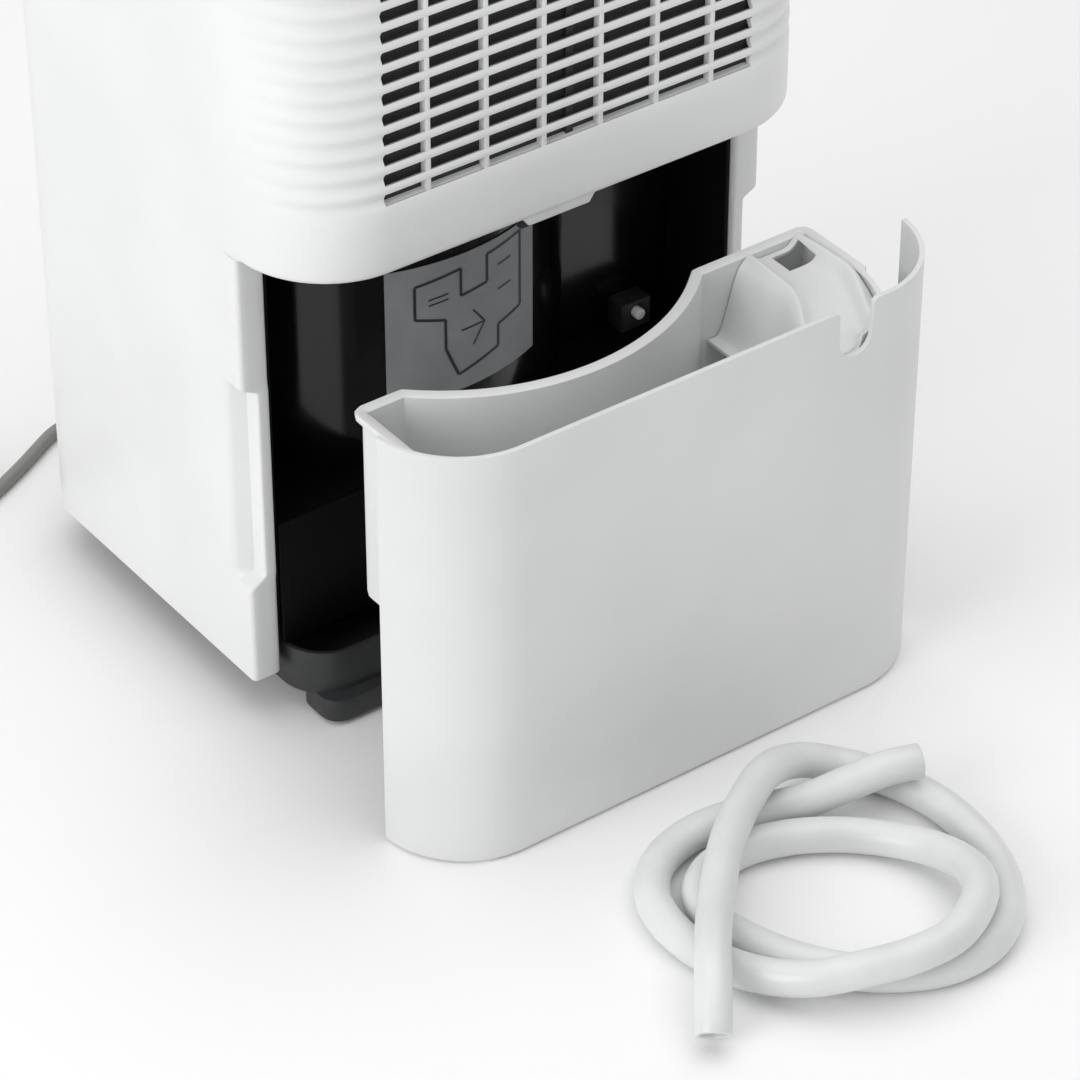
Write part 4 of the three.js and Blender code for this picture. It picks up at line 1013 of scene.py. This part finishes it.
def rounded_copy(node, width, material, slot, segments=2, degrees=30, sharp=35):
    """A copy of a CAD node with its flat faces joined and its edges rounded."""
    original = nodes[node]
    mesh = original.data.copy()
    obj = bpy.data.objects.new(node + "_moulding", mesh)
    bpy.context.scene.collection.objects.link(obj)
    work = bmesh.new()
    work.from_mesh(mesh)
    bmesh.ops.remove_doubles(work, verts=work.verts, dist=0.01 * MM)
    bmesh.ops.dissolve_limit(work, angle_limit=math.radians(1), verts=work.verts, edges=work.edges)
    work.to_mesh(mesh)
    work.free()
    soften(obj, width * MM, segments, degrees)
    settle(obj, sharp)
    return place(obj, original["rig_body"], slot, material, node)


for node, width, material, slot in (
        ("base_pan", 1.6, dark_grey, "dark_grey"), ("rear_cover", 0.6, white, "white_abs"),
        ("top_cover", 1.2, white, "white_abs"), ("control_panel", 0.5, dark_grey, "dark_grey"),
        ("display_lens", 0.3, gloss_black, "gloss_black"), ("carry_handle", 1.8, white, "white_abs"),
        ("outlet_grille", 0.4, dark_grey, "dark_grey"), ("outlet_flap", 0.8, white, "white_abs"),
        ("bay_plinth", 1.5, bay_black, "gloss_black"), ("bay_wall_left", 0.5, bay_black, "gloss_black"),
        ("bay_wall_right", 0.5, bay_black, "gloss_black"), ("bucket_switch", 0.8, dark_grey, "dark_grey"),
        ("float_cage", 0.8, bucket_white, "bucket_white"), ("bucket_float", 2.5, foam, "foam_float"),
        ("switch_plunger", 0.5, white, "white_abs"), ("drip_tray", 0.6, dark_grey, "dark_grey"),
        ("plug_body", 1.4, rubber, "rubber"), ("strain_relief", 0.4, rubber, "rubber")):
    rounded_copy(node, width, material, slot)
for job in ("power", "mode", "timer", "fan"):
    rounded_copy("button_" + job, 0.6, white, "white_abs")
for end in ("front", "rear"):
    for hand in ("left", "right"):
        rounded_copy(f"foot_pad_{end}_{hand}", 0.5, rubber, "rubber")

# %% [markdown]
# The pieces that nobody sees without taking the casing off keep their CAD shape and get the material that
# they are really made of.

# %% materials of the CAD nodes that stay
finish_of = {"gloss_black": gloss_black, "dark_grey": dark_grey, "steel": steel, "copper": copper,
             "fin_metal": fins, "rubber": rubber, "circuit_board": board_green, "filter_grey": net,
             "label_paper": label_film, "white_abs": white, "bucket_white": bucket_white,
             "foam_float": foam, "cord_grey": cord_sheath, "hose_clear": hose_plastic}
slot_of = {part["node"]: part["material_slot"] for part in frame["record"]["subparts"]}
for name, node in nodes.items():
    node.data.materials.clear()
    node.data.materials.append(finish_of[slot_of[name]])
print("slots", sorted(set(slot_of.values())))

# %% [markdown]
# The compressor stands in a round glossy housing that bulges into the bay: flat, a long arc, flat again.

# %% compressor housing
housing_low, housing_high = box_mm("compressor_housing")
FLANK_BEHIND = 48.0


def housing_sheet():
    """A wall over a line that is flat, follows the round housing, and is flat again."""
    dome_y = housing_low[1] + DOME_RADIUS
    flank = FRAME_Y + FLANK_BEHIND
    reach = math.asin((dome_y - flank) / DOME_RADIUS)
    arc = np.linspace(np.pi + reach, 2 * np.pi - reach, 72)
    round_part = np.stack([DOME_X + DOME_RADIUS * np.cos(arc), dome_y + DOME_RADIUS * np.sin(arc)], -1)
    left = np.linspace((housing_low[0], flank), round_part[0], 8)[:-1]
    right = np.linspace(round_part[-1], (housing_high[0], flank), 8)[1:]
    path = np.concatenate([left, round_part, right])
    z = np.linspace(housing_low[2], housing_high[2], 14)
    return in_mm(wall(path, [(0, h) for h in z])), grid_faces(len(z), len(path))


housing = make_mesh("housing_wall", [housing_sheet()])
thicken(housing, 2.5 * MM)
settle(housing, 35)
place(housing, "cabinet", "gloss_black", gloss_black, "compressor_housing")
print("housing radius", DOME_RADIUS)

# %% [markdown]
# The label carries a plain line drawing of the bucket being lifted out: strokes only, no words. Each
# stroke is a thin ribbon bent round the housing, just off the label's face.

# %% label drawing
label_low, label_high = box_mm("instruction_label")
LABEL_OFF = 1.0


def stroke(start, end, width):
    """A ribbon on the label from one (across, up) point to another; both run from nought to one."""
    start, end = np.array(start, float), np.array(end, float)
    size = np.array([label_high[0] - label_low[0], label_high[2] - label_low[2]])
    along = (end - start) * size
    side = np.array([-along[1], along[0]]) / np.linalg.norm(along) * width / 2
    t = np.linspace(0, 1, max(2, int(np.linalg.norm(along) / 3) + 1))[:, None]
    line = start * size + along * t
    flat = np.stack([line - side, line + side], 1)
    x = label_low[0] + flat[..., 0]
    dome_y = housing_low[1] + DOME_RADIUS
    y = dome_y - np.sqrt((DOME_RADIUS + LABEL_OFF) ** 2 - (x - DOME_X) ** 2)
    return in_mm(np.stack([x, y, label_low[2] + flat[..., 1]], -1)), grid_faces(len(t), 2)


LABEL_LINES = [
    ((0.16, 0.62), (0.16, 0.86)), ((0.16, 0.86), (0.44, 0.90)), ((0.44, 0.90), (0.44, 0.70)),
    ((0.16, 0.62), (0.34, 0.56)), ((0.34, 0.56), (0.34, 0.34)), ((0.44, 0.70), (0.62, 0.72)),
    ((0.62, 0.72), (0.62, 0.92)), ((0.62, 0.92), (0.88, 0.95)), ((0.88, 0.95), (0.88, 0.40)),
    ((0.88, 0.40), (0.70, 0.36)), ((0.70, 0.36), (0.70, 0.20)), ((0.70, 0.20), (0.42, 0.12)),
    ((0.42, 0.12), (0.34, 0.34)), ((0.24, 0.74), (0.36, 0.75)), ((0.24, 0.70), (0.36, 0.71)),
    ((0.70, 0.80), (0.80, 0.81)), ((0.70, 0.62), (0.80, 0.63)), ((0.52, 0.30), (0.60, 0.44)),
    ((0.60, 0.44), (0.52, 0.56)), ((0.44, 0.44), (0.60, 0.44))]
drawing = make_mesh("label_drawing", [stroke(a, b, 1.5 if i < 13 else 0.9)
                                      for i, (a, b) in enumerate(LABEL_LINES)])
settle(drawing, 30)
place(drawing, "cabinet", "label_paper", ink)
print("label lines", len(LABEL_LINES))

# %% [markdown]
# The floor is plain and pale. The light is soft: a big panel overhead for the floor and the tops, a big
# one on the left that makes the left side nearly white, and a weak one in front, so that the front faces
# stay a light grey.

# %% floor and light


def add_light(name, stand, aim, size, power):
    """A square soft light that faces a point."""
    data = bpy.data.lights.new(name, "AREA")
    data.shape = "SQUARE"
    data.size = size
    data.energy = power
    light = bpy.data.objects.new(name, data)
    bpy.context.scene.collection.objects.link(light)
    light.location = stand
    light.rotation_euler = (Vector(aim) - Vector(stand)).to_track_quat("-Z", "Y").to_euler()
    return light


def make_stage():
    """A wide square floor with a pale, slightly uneven finish."""
    reach = 12.0
    corners = [(-reach, -reach, 0), (reach, -reach, 0), (reach, reach, 0), (-reach, reach, 0)]
    floor = make_mesh("floor", [(corners, [[0, 1, 2, 3]])])
    finish = Finish("floor_paper", (0.93, 0.93, 0.93), 0.7)
    finish.set("Roughness", 0.62 + finish.noise(3, 2) * 0.14)
    floor.data.materials.append(finish.material)
    return floor


make_stage()
add_light("overhead", (0.3, 0.1, 2.5), (0.2, 0.0, 0), 3.4, 42)
add_light("left", (-2.3, -0.35, 1.1), (-0.1, -0.05, 0.25), 1.5, 24)
add_light("front", (0.9, -2.6, 1.2), (0, -0.1, 0.2), 1.6, 1.5)
world = bpy.data.worlds.new("room")
bpy.context.scene.world = world
world.use_nodes = True
world.node_tree.nodes["Background"].inputs["Color"].default_value = (1, 1, 1, 1)
world.node_tree.nodes["Background"].inputs["Strength"].default_value = 0.5
bpy.context.scene.view_settings.view_transform = "Standard"
print("lights", len(bpy.data.lights))
